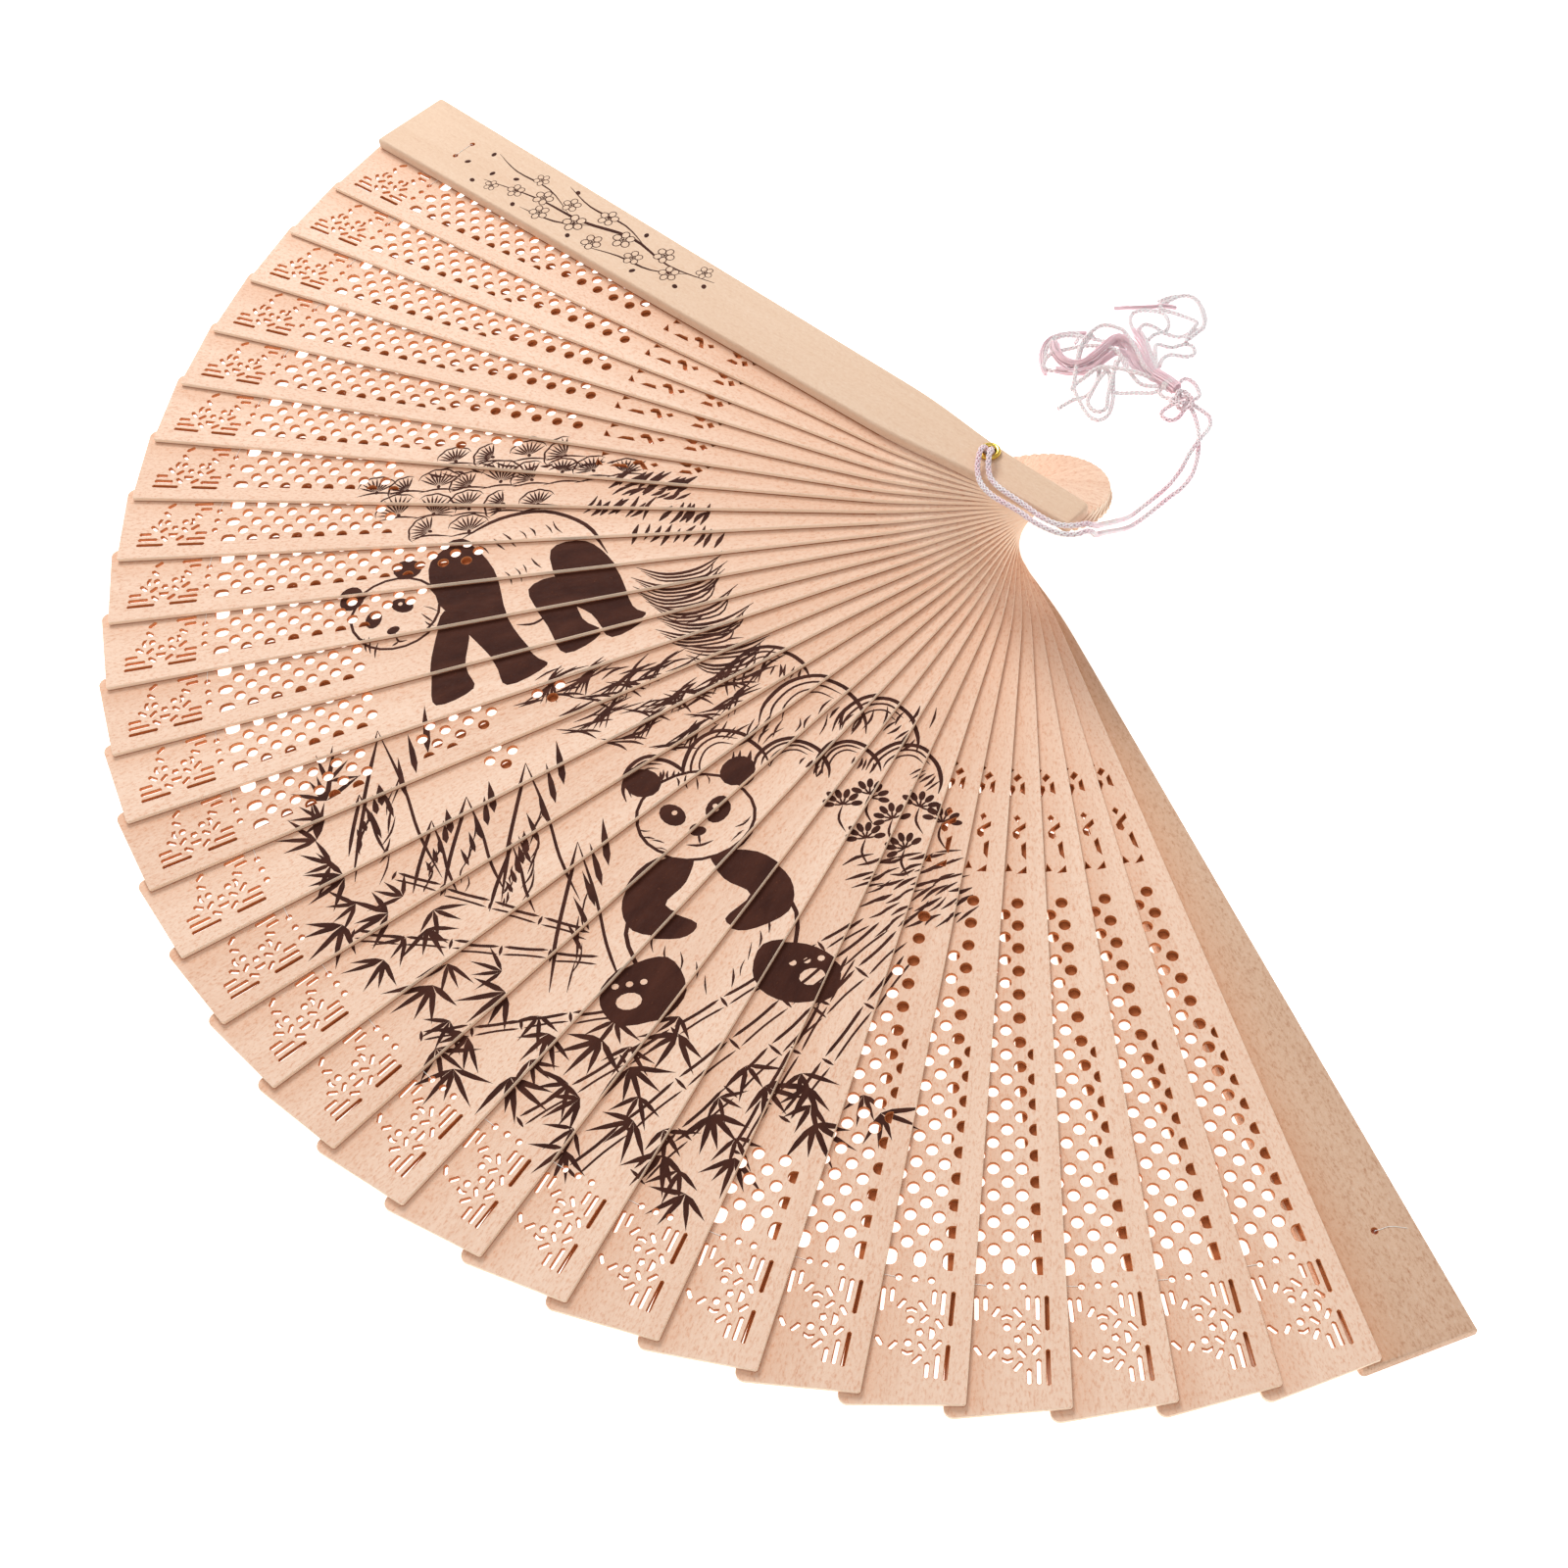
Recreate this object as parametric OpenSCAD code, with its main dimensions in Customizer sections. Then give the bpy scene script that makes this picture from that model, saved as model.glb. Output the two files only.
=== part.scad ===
// Pierced wooden folding fan, laid open with its rear guard down.
// Twenty-eight thin blades turn on one brass eyelet between two guards. Two braided
// cords leave the eyelet and end in a knot and a tassel.
// The origin is on the eyelet's axis, at the outer face of the rear guard.

/* [Opening] */
// Angle between the two guards when the fan is open, in degrees
spread = 152; // [144:1:154]

/* [Sticks] */
// Length of a stick from the eyelet to its wide end
stick_len = 177; // [174:0.5:180]
// Length of a stick's tail behind the eyelet
tail_len = 23.5; // [21:0.5:23.5]
// Width of a stick at its wide end
tip_w = 19.6; // [18.6:0.1:20.4]
// How much further out a blade's covered corner lies than its open one
end_slant = 2.0; // [0:0.1:2.4]
// Width of a stick at its shoulder
shoulder_w = 12.8; // [12:0.1:13.2]
// Width of a stick at the eyelet
neck_w = 8.3; // [7.8:0.1:8.6]
// Width of a stick's tail
tail_w = 7.0; // [6.4:0.1:7.2]
// Distance of the eyelet from a stick's centre line
pivot_off = 1.6; // [1:0.1:1.8]
// Thickness of a blade
blade_thk = 0.84; // [0.7:0.02:0.9]
// Height from one blade to the next
blade_pitch = 1.0; // [0.98:0.01:1]
// Thickness of a guard
guard_thk = 2.4; // [2:0.1:2.4]

/* [Piercing] */
// Radius of a round hole
hole_r = 1.03; // [0.8:0.01:1.1]
// Distance between holes along a column
hole_pitch = 4.65; // [4.5:0.05:4.7]
// Distance between neighbouring columns
column_gap = 2.33; // [2.2:0.01:2.4]
// Radius of the holes for the linking thread
thread_hole_r = 0.55; // [0.4:0.05:0.6]

/* [Eyelet] */
// Outer radius of the eyelet's barrel
barrel_r = 1.5; // [1.4:0.05:1.5]
// Radius of the eyelet's bore
bore_r = 1.2; // [1.2:0.05:1.25]
// Radial clearance between the barrel and the sticks
running_gap = 0.05; // [0.03:0.01:0.08]

/* [Cord] */
// Diameter of each braided cord
cord_d = 1.2; // [1:0.05:1.2]

/* [Hidden] */
blade_count = 28;
step = spread / (blade_count + 1);
rear_tip_dir = 270 + spread / 2;
stack_gap = blade_pitch - blade_thk;
first_blade_z = guard_thk + stack_gap;
front_guard_z = first_blade_z + blade_count * blade_pitch;
front_face_z = front_guard_z + guard_thk;
stick_bore_r = barrel_r + running_gap;

// Outline of a stick: distance from the eyelet and half width
shoulder_x = 19;
bend_x = 6;
tail_corner = 1.5;
tip_corner = 0.9;
blade_corner = 1.5;
bend_steps = 4;

// Piercing: the last row of holes, the thread holes and the rosette, from the wide end
last_row_x = stick_len - 23.4;
round_row_x = stick_len - 26.05;
thread_row_x = stick_len - 20;
rosette_x = stick_len - 11.45;
thread_row_gap = 2.6;
column_shift = 0.4;
round_rows = 15;
edge_rows = 8;
edge_border = 3.6;
oval_len = 2.9;

// Recess in the rear guard for the eyelet's flange
recess_r = 2.5;
recess_depth = 0.6;
flange_r = 2.4;
flange_thk = 0.45;
face_gap = 0.05;
roll_r = 0.45;
roll_ring_r = 1.75;
roll_z = front_face_z + roll_r + 0.1;

// Routes of the two cords, from inside the eyelet over the front guard and down to the
// surface that the fan lies on
cord_r = cord_d / 2;
lay_z = 0.65;
over_z = front_face_z + 0.84;
outer_route = [
    [-0.55, -0.25, 28.5], [-0.55, -0.25, 31.5], [-0.55, -0.35, 33.4], [-0.4, -0.9, 34.9],
    [0.2, -2.1, 35.5], [1.4, -3.6, 35.1], [3, -5, 34.3], [5, -6.1, over_z],
    [7.4, -6.7, over_z], [10.5, -6.6, over_z], [13.5, -5.8, over_z], [16.7, -5, over_z],
    [20, -4.5, over_z], [23.4, -3.4, over_z], [26, -1.9, over_z], [27.5, 0.1, over_z],
    [27.7, 2, 33.5], [27, 4, 31.4], [24.6, 6.9, 26.7], [21, 11.5, 21.1], [17.3, 16.5, 15.1],
    [13.9, 21.2, 9.5], [11.1, 25.4, 4.8], [9.2, 29.2, 1.7], [8.2, 32.8, lay_z],
    [7.5, 37.2, lay_z], [6.8, 41, lay_z], [6.2, 45, lay_z], [4.3, 49.4, lay_z],
    [0.9, 53.5, lay_z], [-2.4, 56.5, lay_z], [-5.8, 59, lay_z], [-9.6, 61, lay_z]
];
inner_route = [
    [0.55, 0.25, 28.5], [0.55, 0.25, 31.5], [0.6, 0.15, 33.4], [0.9, -0.2, 34.9],
    [1.7, -1.1, 35.6], [2.9, -2.3, 35.2], [4.2, -3.3, 34.4], [6.2, -4.2, over_z],
    [9, -4.4, over_z], [12.2, -3.9, over_z], [15.5, -3.3, over_z], [19.2, -2.8, over_z],
    [22.5, -1.8, over_z], [24.6, -0.3, over_z], [25.8, 1.6, over_z], [26, 3.4, 33.2],
    [25.2, 5.5, 30.8], [22.7, 9, 26.3], [19.1, 13.6, 20.7], [15.4, 18.6, 14.8],
    [11.8, 23.3, 9.3], [8.9, 27.5, 4.7], [6.8, 31.2, 1.6], [5.7, 34.6, lay_z],
    [5.1, 38.2, lay_z], [4, 43.2, lay_z], [2, 48, lay_z], [-0.1, 52, 1.3],
    [-1, 54.5, 1.95], [-2.1, 57, 1.95], [-3.3, 59.4, 1.2], [-4.8, 61.6, lay_z],
    [-7, 63, lay_z], [-10, 62.8, lay_z]
];
tube_sides = 8;

// Knot, tassel head and tassel, lying on the surface
knot_at = [-12.6, 61.2, 0.05];
knot_r = 2.8;
knot_h = 3.6;
knot_ears = [[-16.2, 64.6, 2.6], [-12.1, 57.3, 2.2]];
head_from = [-15.2, 61.9, 2.15];
head_dir = 190;
head_waist = [2.6, 0.9];
head_body = [7.2, 2.1];
tassel_heap = [
    [-25.6, 58], [-24.5, 63.8], [-31, 68], [-38, 67], [-44, 59.5], [-49, 54.5],
    [-48, 48], [-40, 42], [-34, 44], [-30, 46], [-27, 52]
];
tassel_upper = [
    [-31, 67.5], [-24, 71], [-24, 74], [-29, 76], [-29.3, 81], [-36.5, 86], [-41, 85.2],
    [-43, 77.5], [-49.3, 69], [-47, 66.8], [-42, 71], [-38, 66]
];
tassel_lower = [
    [-32, 47], [-34, 44.5], [-30.8, 43.5], [-30.5, 38.2], [-28.2, 37.2], [-26.5, 43],
    [-23, 41.8], [-18.6, 43], [-19.5, 48], [-22.5, 51.5], [-20.8, 55], [-27, 58]
];
heap_h = 4.6;
loop_h = 1.8;

function blade_name(i) = str("blade_", i < 10 ? "0" : "", i);

// ---- Outline of a stick, about its centre line ----

// Half width at a distance x from the eyelet along the long straight edge
function edge_half(x) =
    (shoulder_w + (tip_w - shoulder_w) * (x - shoulder_x) / (stick_len - shoulder_x)) / 2;

// Half width at a distance x along the straight edge between eyelet and shoulder
function neck_half(x) = (neck_w + (shoulder_w - neck_w) * x / shoulder_x) / 2;

// Half width at a distance x behind the eyelet
function tail_half(x) = (neck_w + (neck_w - tail_w) * x / tail_len) / 2;

// Points of a soft bend from a to c that pulls towards b
function soft_bend(a, b, c) =
    [for (i = [0:bend_steps])
        let (t = i / bend_steps)
            (1 - t) * (1 - t) * a + 2 * t * (1 - t) * b + t * t * c];

// Points of a rounded corner
function corner(centre, r, from, to) =
    [for (i = [0:bend_steps])
        let (a = from + (to - from) * i / bend_steps) centre + r * [cos(a), sin(a)]];

// One long edge, from the tail to the wide end
function edge_points() =
    concat(
        soft_bend(
            [-bend_x, tail_half(-bend_x)], [0, neck_half(0)], [bend_x, neck_half(bend_x)]
        ),
        soft_bend(
            [shoulder_x - bend_x, neck_half(shoulder_x - bend_x)],
            [shoulder_x, shoulder_w / 2],
            [shoulder_x + bend_x, edge_half(shoulder_x + bend_x)]
        )
    );

// Outline of a stick whose wide end runs slant millimetres further out on its covered side
module stick_outline(slant, rounding) {
    open_edge = edge_points();
    far_x = stick_len + slant / 2;
    near_x = stick_len - slant / 2;
    polygon(concat(
        corner([far_x - rounding, -tip_w / 2 + rounding], rounding, -90, 0),
        [[near_x, tip_w / 2 - 0.3], [near_x - 0.3, tip_w / 2]],
        [for (i = [len(open_edge) - 1:-1:0]) open_edge[i]],
        [[-tail_len + 0.4, tail_w / 2], [-tail_len, tail_w / 2 - 0.4]],
        corner([-tail_len + tail_corner, -tail_w / 2 + tail_corner], tail_corner, 180, 270),
        [for (p = open_edge) [p[0], -p[1]]]
    ));
}

// ---- Piercing, about the centre line ----

// Stretches of blade i that carry the pierced field: start, end and how much later
// the start lies for each millimetre towards the open edge. The rest stays solid
// under the printed picture.
function field_spans(i) =
    i <= 4 || i >= 24 ? [[0, 160, 0]]
    : i == 5 ? [[95, 160, -5]]
    : i == 6 ? [[100, 160, -5]]
    : i == 7 ? [[141, 160, 0]]
    : i <= 14 ? []
    : i == 15 ? [[105, 112, 0]]
    : i == 16 ? [[92, 99, 0], [106, 122, 0], [132, 160, 0]]
    : i <= 18 ? [[126, 160, 0]]
    : i == 19 ? [[116, 160, 1.5]]
    : i == 20 ? [[102, 160, 0]]
    : i <= 22 ? [[120, 160, 0]]
    : [[97, 160, 4]];

function in_field(i, x, y) =
    len([for (s = field_spans(i)) if (x > s[0] + s[2] * y && x < s[1]) 1]) > 0;

function has_fretwork(i) = i <= 6 || i >= 23;

// Points mirrored about the centre line where s is -1
function sided(points, s) = [for (p = points) [p[0], s * p[1]]];

// A straight slot with pointed ends from a to b
module slot(a, b, w) {
    along = (b - a) / norm(b - a);
    across = [-along[1], along[0]] * w / 2;
    point = along * w / 3;
    polygon([
        a, a - across + point, b - across - point, b, b + across - point, a + across + point
    ]);
}

// A hole beside the border: round towards the centre line, square towards the edge
module edge_hole(x, side, half_len) {
    column = 2 * column_gap;
    border = edge_half(x) - edge_border - side * column_shift;
    cut = border < column ? asin((border - column) / hole_r) : 0;
    stretch = half_len - hole_r;
    round_part = concat(
        corner([x - stretch, column], hole_r, 180 - cut, 270),
        corner([x + stretch, column], hole_r, 270, 360 + cut)
    );
    square_part = border > column ? [[x + half_len, border], [x - half_len, border]] : [];
    polygon(sided(concat(round_part, square_part), side));
}

// A hole that is longer along the blade
module oval_hole(x, y) {
    stretch = oval_len / 2 - hole_r;
    polygon(concat(
        corner([x - stretch, y], hole_r, 90, 270),
        corner([x + stretch, y], hole_r, -90, 90)
    ));
}

module round_field(i) {
    for (n = [0:round_rows - 1], side = [-1, 1]) {
        x = round_row_x - n * hole_pitch;
        if (in_field(i, x, side * column_gap))
            translate([x, side * column_gap]) circle(r = hole_r, $fn = 24);
    }
    for (n = [0:round_rows - 2]) {
        x = round_row_x - (n + 0.5) * hole_pitch;
        if (in_field(i, x, 0)) translate([x, 0]) circle(r = hole_r, $fn = 24);
    }
    for (n = [0:edge_rows - 1], side = [-1, 1]) {
        x = round_row_x - (n + 0.5) * hole_pitch;
        if (in_field(i, x, side * 2 * column_gap)) edge_hole(x, side, hole_r);
    }
    if (in_field(i, last_row_x, 0)) {
        oval_hole(last_row_x, 0);
        for (side = [-1, 1]) edge_hole(last_row_x, side, oval_len / 2);
    }
}

// The rosette near the wide end, about its own centre. Its lower right part stays solid.
module rosette() {
    for (s = [-1, 1]) {
        slot([s * 1.5, 6.25], [s * 7.1, 6.25], 0.6);
        slot([s * 3.05, 4.8], [s * 7.05, 4.8], 0.7);
        slot([s * 4.6, 3.3], [s * 7.1, 3.3], 0.7);
        slot([s * 0.95, 5.1], [s * 2.4, 3.9], 0.7);
        slot([s * 1.55, 1.6], [s * 2.85, 2.8], 0.7);
        slot([s * 3.55, 2.3], [s * 5.05, 1], 0.7);
        polygon([
            [s * 3, 0.9], [s * 3.6, 0.8], [s * 3.9, 0], [s * 3.6, -0.8], [s * 3, -0.8],
            [s * 3.3, 0]
        ]);
        translate([s * 1.85, 0]) circle(r = 0.6, $fn = 20);
    }
    slot([-5.1, -1.1], [-3.5, -2.2], 0.7);
    slot([1.75, -1.7], [3.15, -2.9], 0.7);
    slot([1.2, -5.1], [2.7, -4], 0.7);
    slot([-6.8, -3.3], [-4.4, -3.3], 0.7);
    slot([-6.8, -4.7], [-2.8, -4.7], 0.7);
    polygon([[0, 4.1], [-0.8, 3.8], [-1, 3.1], [1, 3.1], [0.8, 3.8]]);
    polygon([[0, 2.3], [-0.65, 1.8], [-0.4, 1.1], [0.4, 1.1], [0.65, 1.8]]);
}

// Small cut motifs where the pierced field begins; s mirrors them about the centre line
module fretwork(s) {
    polygon(sided([[55.6, 1.6], [56.4, 2.5], [57.3, 1.7]], s));
    polygon(sided([[57.3, 3.3], [58.1, 3.9], [59.1, 2.9], [58.3, 2.4]], s));
    polygon(sided([[59.2, 4.4], [62, 4.4], [61.4, 3.6], [59.8, 3.7]], s));
    polygon(sided([[59.9, 2], [60.2, 2.6], [61, 2.6], [62.5, 1.8], [60.6, 1.5]], s));
    polygon(sided([[66.7, 3], [67.4, 3.5], [68.3, 2.9], [67.3, 2.4]], s));
    polygon(sided([
        [68.5, 4.4], [69.5, 4.4], [70.4, 3.2], [71.6, 3.3], [72, 2.8], [71.5, 2.2],
        [70.5, 2.1], [69.7, 2.8]
    ], s));
    polygon(sided([[72.7, 4.4], [76.5, 4.4], [75.5, 3.7], [73.4, 3.6]], s));
    polygon(sided([[78, 4.4], [79.4, 4.4], [79.5, 2.8]], s));
    polygon(sided([[77.4, 1.1], [78.9, 1.8], [79, 0.7]], s));
}

module thread_holes(offsets) {
    for (y = offsets) translate([thread_row_x, y]) circle(r = thread_hole_r, $fn = 16);
}

// ---- Sticks ----

// Puts a shape drawn about the centre line on stick i: 0 is the rear guard
module on_stick(i) {
    lean = atan(pivot_off / stick_len);
    rotate([0, 0, rear_tip_dir - i * step - lean]) translate([0, pivot_off, 0]) children();
}

module blade(i) {
    color("burlywood")
        translate([0, 0, first_blade_z + (i - 1) * blade_pitch])
            on_stick(i)
                linear_extrude(height = blade_thk)
                    difference() {
                        stick_outline(end_slant, blade_corner);
                        translate([0, -pivot_off]) circle(r = stick_bore_r, $fn = 48);
                        translate([0, column_shift]) round_field(i);
                        if (has_fretwork(i)) {
                            fretwork(1);
                            fretwork(-1);
                        }
                        translate([rosette_x, 0]) rosette();
                        thread_holes([-thread_row_gap, 0, thread_row_gap]);
                    }
}

module rear_guard() {
    color("tan")
        difference() {
            on_stick(0)
                linear_extrude(height = guard_thk)
                    difference() {
                        stick_outline(0, tip_corner);
                        translate([0, -pivot_off]) circle(r = stick_bore_r, $fn = 48);
                        thread_holes([thread_row_gap]);
                    }
            translate([0, 0, -1]) cylinder(r = recess_r, h = 1 + recess_depth, $fn = 48);
        }
}

module front_guard() {
    color("wheat")
        translate([0, 0, front_guard_z])
            on_stick(blade_count + 1)
                linear_extrude(height = guard_thk)
                    difference() {
                        stick_outline(0, tip_corner);
                        translate([0, -pivot_off]) circle(r = stick_bore_r, $fn = 48);
                        thread_holes([-thread_row_gap, thread_row_gap]);
                    }
}

// ---- Eyelet ----

module rivet() {
    color("gold")
        rotate_extrude($fn = 64) {
            translate([bore_r, face_gap])
                square([barrel_r - bore_r, roll_z - face_gap]);
            translate([bore_r, face_gap]) square([flange_r - bore_r, flange_thk]);
            translate([roll_ring_r, roll_z]) circle(r = roll_r, $fn = 32);
        }
}

// ---- Cords, knot and tassel ----

function unit(v) = v / norm(v);

function tangent(path, i) =
    unit(path[min(i + 1, len(path) - 1)] - path[max(i - 1, 0)]);

// The part of v square to a unit vector t
function square_to(v, t) = unit(v - (v * t) * t);

// One vector square to the path at each point, carried along without twist
function carried(path) =
    [for (i = 0, u = square_to([1, 0, 0], tangent(path, 0)); i < len(path);
        i = i + 1, u = square_to(u, tangent(path, min(i, len(path) - 1)))) u];

function tube_points(path, r) =
    let (sides = carried(path))
        [for (i = [0:len(path) - 1])
            let (u = sides[i], v = cross(tangent(path, i), u))
                for (j = [0:tube_sides - 1])
                    let (a = 360 * j / tube_sides) path[i] + r * (cos(a) * u + sin(a) * v)];

function tube_faces(rings) =
    concat(
        [[for (j = [0:tube_sides - 1]) j]],
        [for (i = [0:rings - 2], j = [0:tube_sides - 1])
            let (a = i * tube_sides + j, b = i * tube_sides + (j + 1) % tube_sides)
                [a, a + tube_sides, b + tube_sides]],
        [for (i = [0:rings - 2], j = [0:tube_sides - 1])
            let (a = i * tube_sides + j, b = i * tube_sides + (j + 1) % tube_sides)
                [a, b + tube_sides, b]],
        [[for (j = [tube_sides - 1:-1:0]) (rings - 1) * tube_sides + j]]
    );

module cord_tube(route) {
    color("pink")
        polyhedron(points = tube_points(route, cord_r), faces = tube_faces(len(route)));
}

module cord_outer() {
    cord_tube(outer_route);
}

module cord_inner() {
    cord_tube(inner_route);
}

module knot() {
    color("pink") {
        translate(knot_at) cylinder(r = knot_r, h = knot_h, $fn = 40);
        for (ear = knot_ears)
            translate([ear[0], ear[1], lay_z])
                rotate_extrude($fn = 40) translate([ear[2], 0]) circle(r = cord_r, $fn = 20);
    }
}

module tassel_head() {
    color("hotpink")
        translate(head_from)
            rotate([0, 90, head_dir]) {
                cylinder(r = head_waist[1], h = head_waist[0] + 0.1, $fn = 24);
                translate([0, 0, head_waist[0]])
                    cylinder(r = head_body[1], h = head_body[0], $fn = 32);
            }
}

module tassel() {
    color("lightpink") {
        linear_extrude(height = heap_h) polygon(tassel_heap);
        linear_extrude(height = loop_h) polygon(tassel_upper);
        linear_extrude(height = loop_h) polygon(tassel_lower);
    }
}

rear_guard();
for (i = [1:blade_count]) blade(i);
front_guard();
rivet();
cord_outer();
cord_inner();
knot();
tassel_head();
tassel();
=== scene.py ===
"""A pierced wooden folding fan, laid open on its rear guard, with its cord and tassel."""

import math
import random

import bmesh
import bpy
from mathutils import Matrix, Vector
from mathutils.geometry import delaunay_2d_cdt


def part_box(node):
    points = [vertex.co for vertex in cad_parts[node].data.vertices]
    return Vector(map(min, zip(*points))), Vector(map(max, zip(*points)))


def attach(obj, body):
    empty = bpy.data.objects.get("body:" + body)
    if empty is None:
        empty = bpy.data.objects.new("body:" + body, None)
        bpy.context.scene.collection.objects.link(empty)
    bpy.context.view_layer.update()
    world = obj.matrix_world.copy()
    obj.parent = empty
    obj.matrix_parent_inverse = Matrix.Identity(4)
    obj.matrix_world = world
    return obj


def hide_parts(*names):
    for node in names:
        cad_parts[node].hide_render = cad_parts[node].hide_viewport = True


bl_info = {
    "name": "Pierced Folding Fan",
    "version": (1, 0, 0),
    "blender": (4, 5, 0),
    "location": "View3D > Sidebar > Fan",
    "description": "Makes the sticks, eyelet, cords, knot and tassel of a pierced wooden fan",
    "category": "Object",
}

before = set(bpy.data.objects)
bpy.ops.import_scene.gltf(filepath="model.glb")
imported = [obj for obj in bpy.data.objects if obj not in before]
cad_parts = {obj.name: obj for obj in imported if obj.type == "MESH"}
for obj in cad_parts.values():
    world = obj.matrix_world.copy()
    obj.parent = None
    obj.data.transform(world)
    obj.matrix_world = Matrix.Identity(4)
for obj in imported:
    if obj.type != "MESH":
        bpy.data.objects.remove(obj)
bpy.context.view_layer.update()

MM = 0.001
BLADES = [f"blade_{number:02d}" for number in range(1, 29)]
STICKS = ["rear_guard", *BLADES, "front_guard"]
LAST = len(STICKS) - 1
SPREAD = 152.0
STEP = SPREAD / LAST
REAR_DIRECTION = 270 + SPREAD / 2
STICK_LENGTH = 177
PIVOT_OFF = 1.6
SHOULDER_END = 25.0
COVER_START, COVER_END = 20.0, 176.0
UNCOVERED = 100.0
THREAD_ROW = 157.0
THREAD_GAP = 2.6
FRONT_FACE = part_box("front_guard")[1].z / MM

# The camera's place, the directions of its right, down and ahead, and its lens
CAMERA_PLACE = (0.223558, -0.159744, 0.305300)
CAMERA_RIGHT = (0.532504, 0.841711, -0.089228)
CAMERA_DOWN = (0.656422, -0.477219, -0.584271)
CAMERA_AHEAD = (-0.534369, 0.252555, -0.806638)
CAMERA_LENS, CAMERA_SENSOR = 45.106, 36
# Each lamp's name, place, size, power and colour
LAMPS = [
    ("key", (-0.7, 0.1, 0.75), 0.4, 6.5, (1.0, 0.985, 0.965)),
    ("fill", (0.7, -0.7, 0.9), 0.9, 2.0, (0.98, 0.985, 1.0)),
]
STUDIO_STRENGTH = 0.56

# A stick's material slots, and the seat of the eyelet's flange under the rear guard
WOOD, INK, EDGE, HOLE_WALL = range(4)
RECESS_DEPTH, RECESS_SET_IN = 0.6, 0.95

# Routes of the two cords, in millimetres, from inside the eyelet to the knot
CORD_OVER = FRONT_FACE + 0.84
CORD_LAY = 0.65
OUTER_ROUTE = [
    (-0.55, -0.25, 28.5), (-0.55, -0.25, 31.5), (-0.55, -0.35, 33.4), (-0.4, -0.9, 34.9),
    (0.2, -2.1, 35.5), (1.4, -3.6, 35.1), (3, -5, 34.3), (5, -6.1, CORD_OVER),
    (7.4, -6.7, CORD_OVER), (10.5, -6.6, CORD_OVER), (13.5, -5.8, CORD_OVER),
    (16.7, -5, CORD_OVER), (20, -4.5, CORD_OVER), (23.4, -3.4, CORD_OVER),
    (26, -1.9, CORD_OVER), (27.5, 0.1, CORD_OVER), (27.7, 2, 33.5), (27, 4, 31.4),
    (24.6, 6.9, 26.7), (21, 11.5, 21.1), (17.3, 16.5, 15.1), (13.9, 21.2, 9.5),
    (11.1, 25.4, 4.8), (9.2, 29.2, 1.7), (8.2, 32.8, CORD_LAY), (7.5, 37.2, CORD_LAY),
    (6.8, 41, CORD_LAY), (6.2, 45, CORD_LAY), (4.3, 49.4, CORD_LAY), (0.9, 53.5, CORD_LAY),
    (-2.4, 56.5, CORD_LAY), (-5.8, 59, CORD_LAY), (-9.6, 61, CORD_LAY),
]
INNER_ROUTE = [
    (0.55, 0.25, 28.5), (0.55, 0.25, 31.5), (0.6, 0.15, 33.4), (0.9, -0.2, 34.9),
    (1.7, -1.1, 35.6), (2.9, -2.3, 35.2), (4.2, -3.3, 34.4), (6.2, -4.2, CORD_OVER),
    (9, -4.4, CORD_OVER), (12.2, -3.9, CORD_OVER), (15.5, -3.3, CORD_OVER),
    (19.2, -2.8, CORD_OVER), (22.5, -1.8, CORD_OVER), (24.6, -0.3, CORD_OVER),
    (25.8, 1.6, CORD_OVER), (26, 3.4, 33.2), (25.2, 5.5, 30.8), (22.7, 9, 26.3),
    (19.1, 13.6, 20.7), (15.4, 18.6, 14.8), (11.8, 23.3, 9.3), (8.9, 27.5, 4.7),
    (6.8, 31.2, 1.6), (5.7, 34.6, CORD_LAY), (5.1, 38.2, CORD_LAY), (4, 43.2, CORD_LAY),
    (2, 48, CORD_LAY), (-0.1, 52, 1.3), (-1, 54.5, 1.95), (-2.1, 57, 1.95),
    (-3.3, 59.4, 1.2), (-4.8, 61.6, CORD_LAY), (-7, 63, CORD_LAY), (-10, 62.8, CORD_LAY),
]

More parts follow.
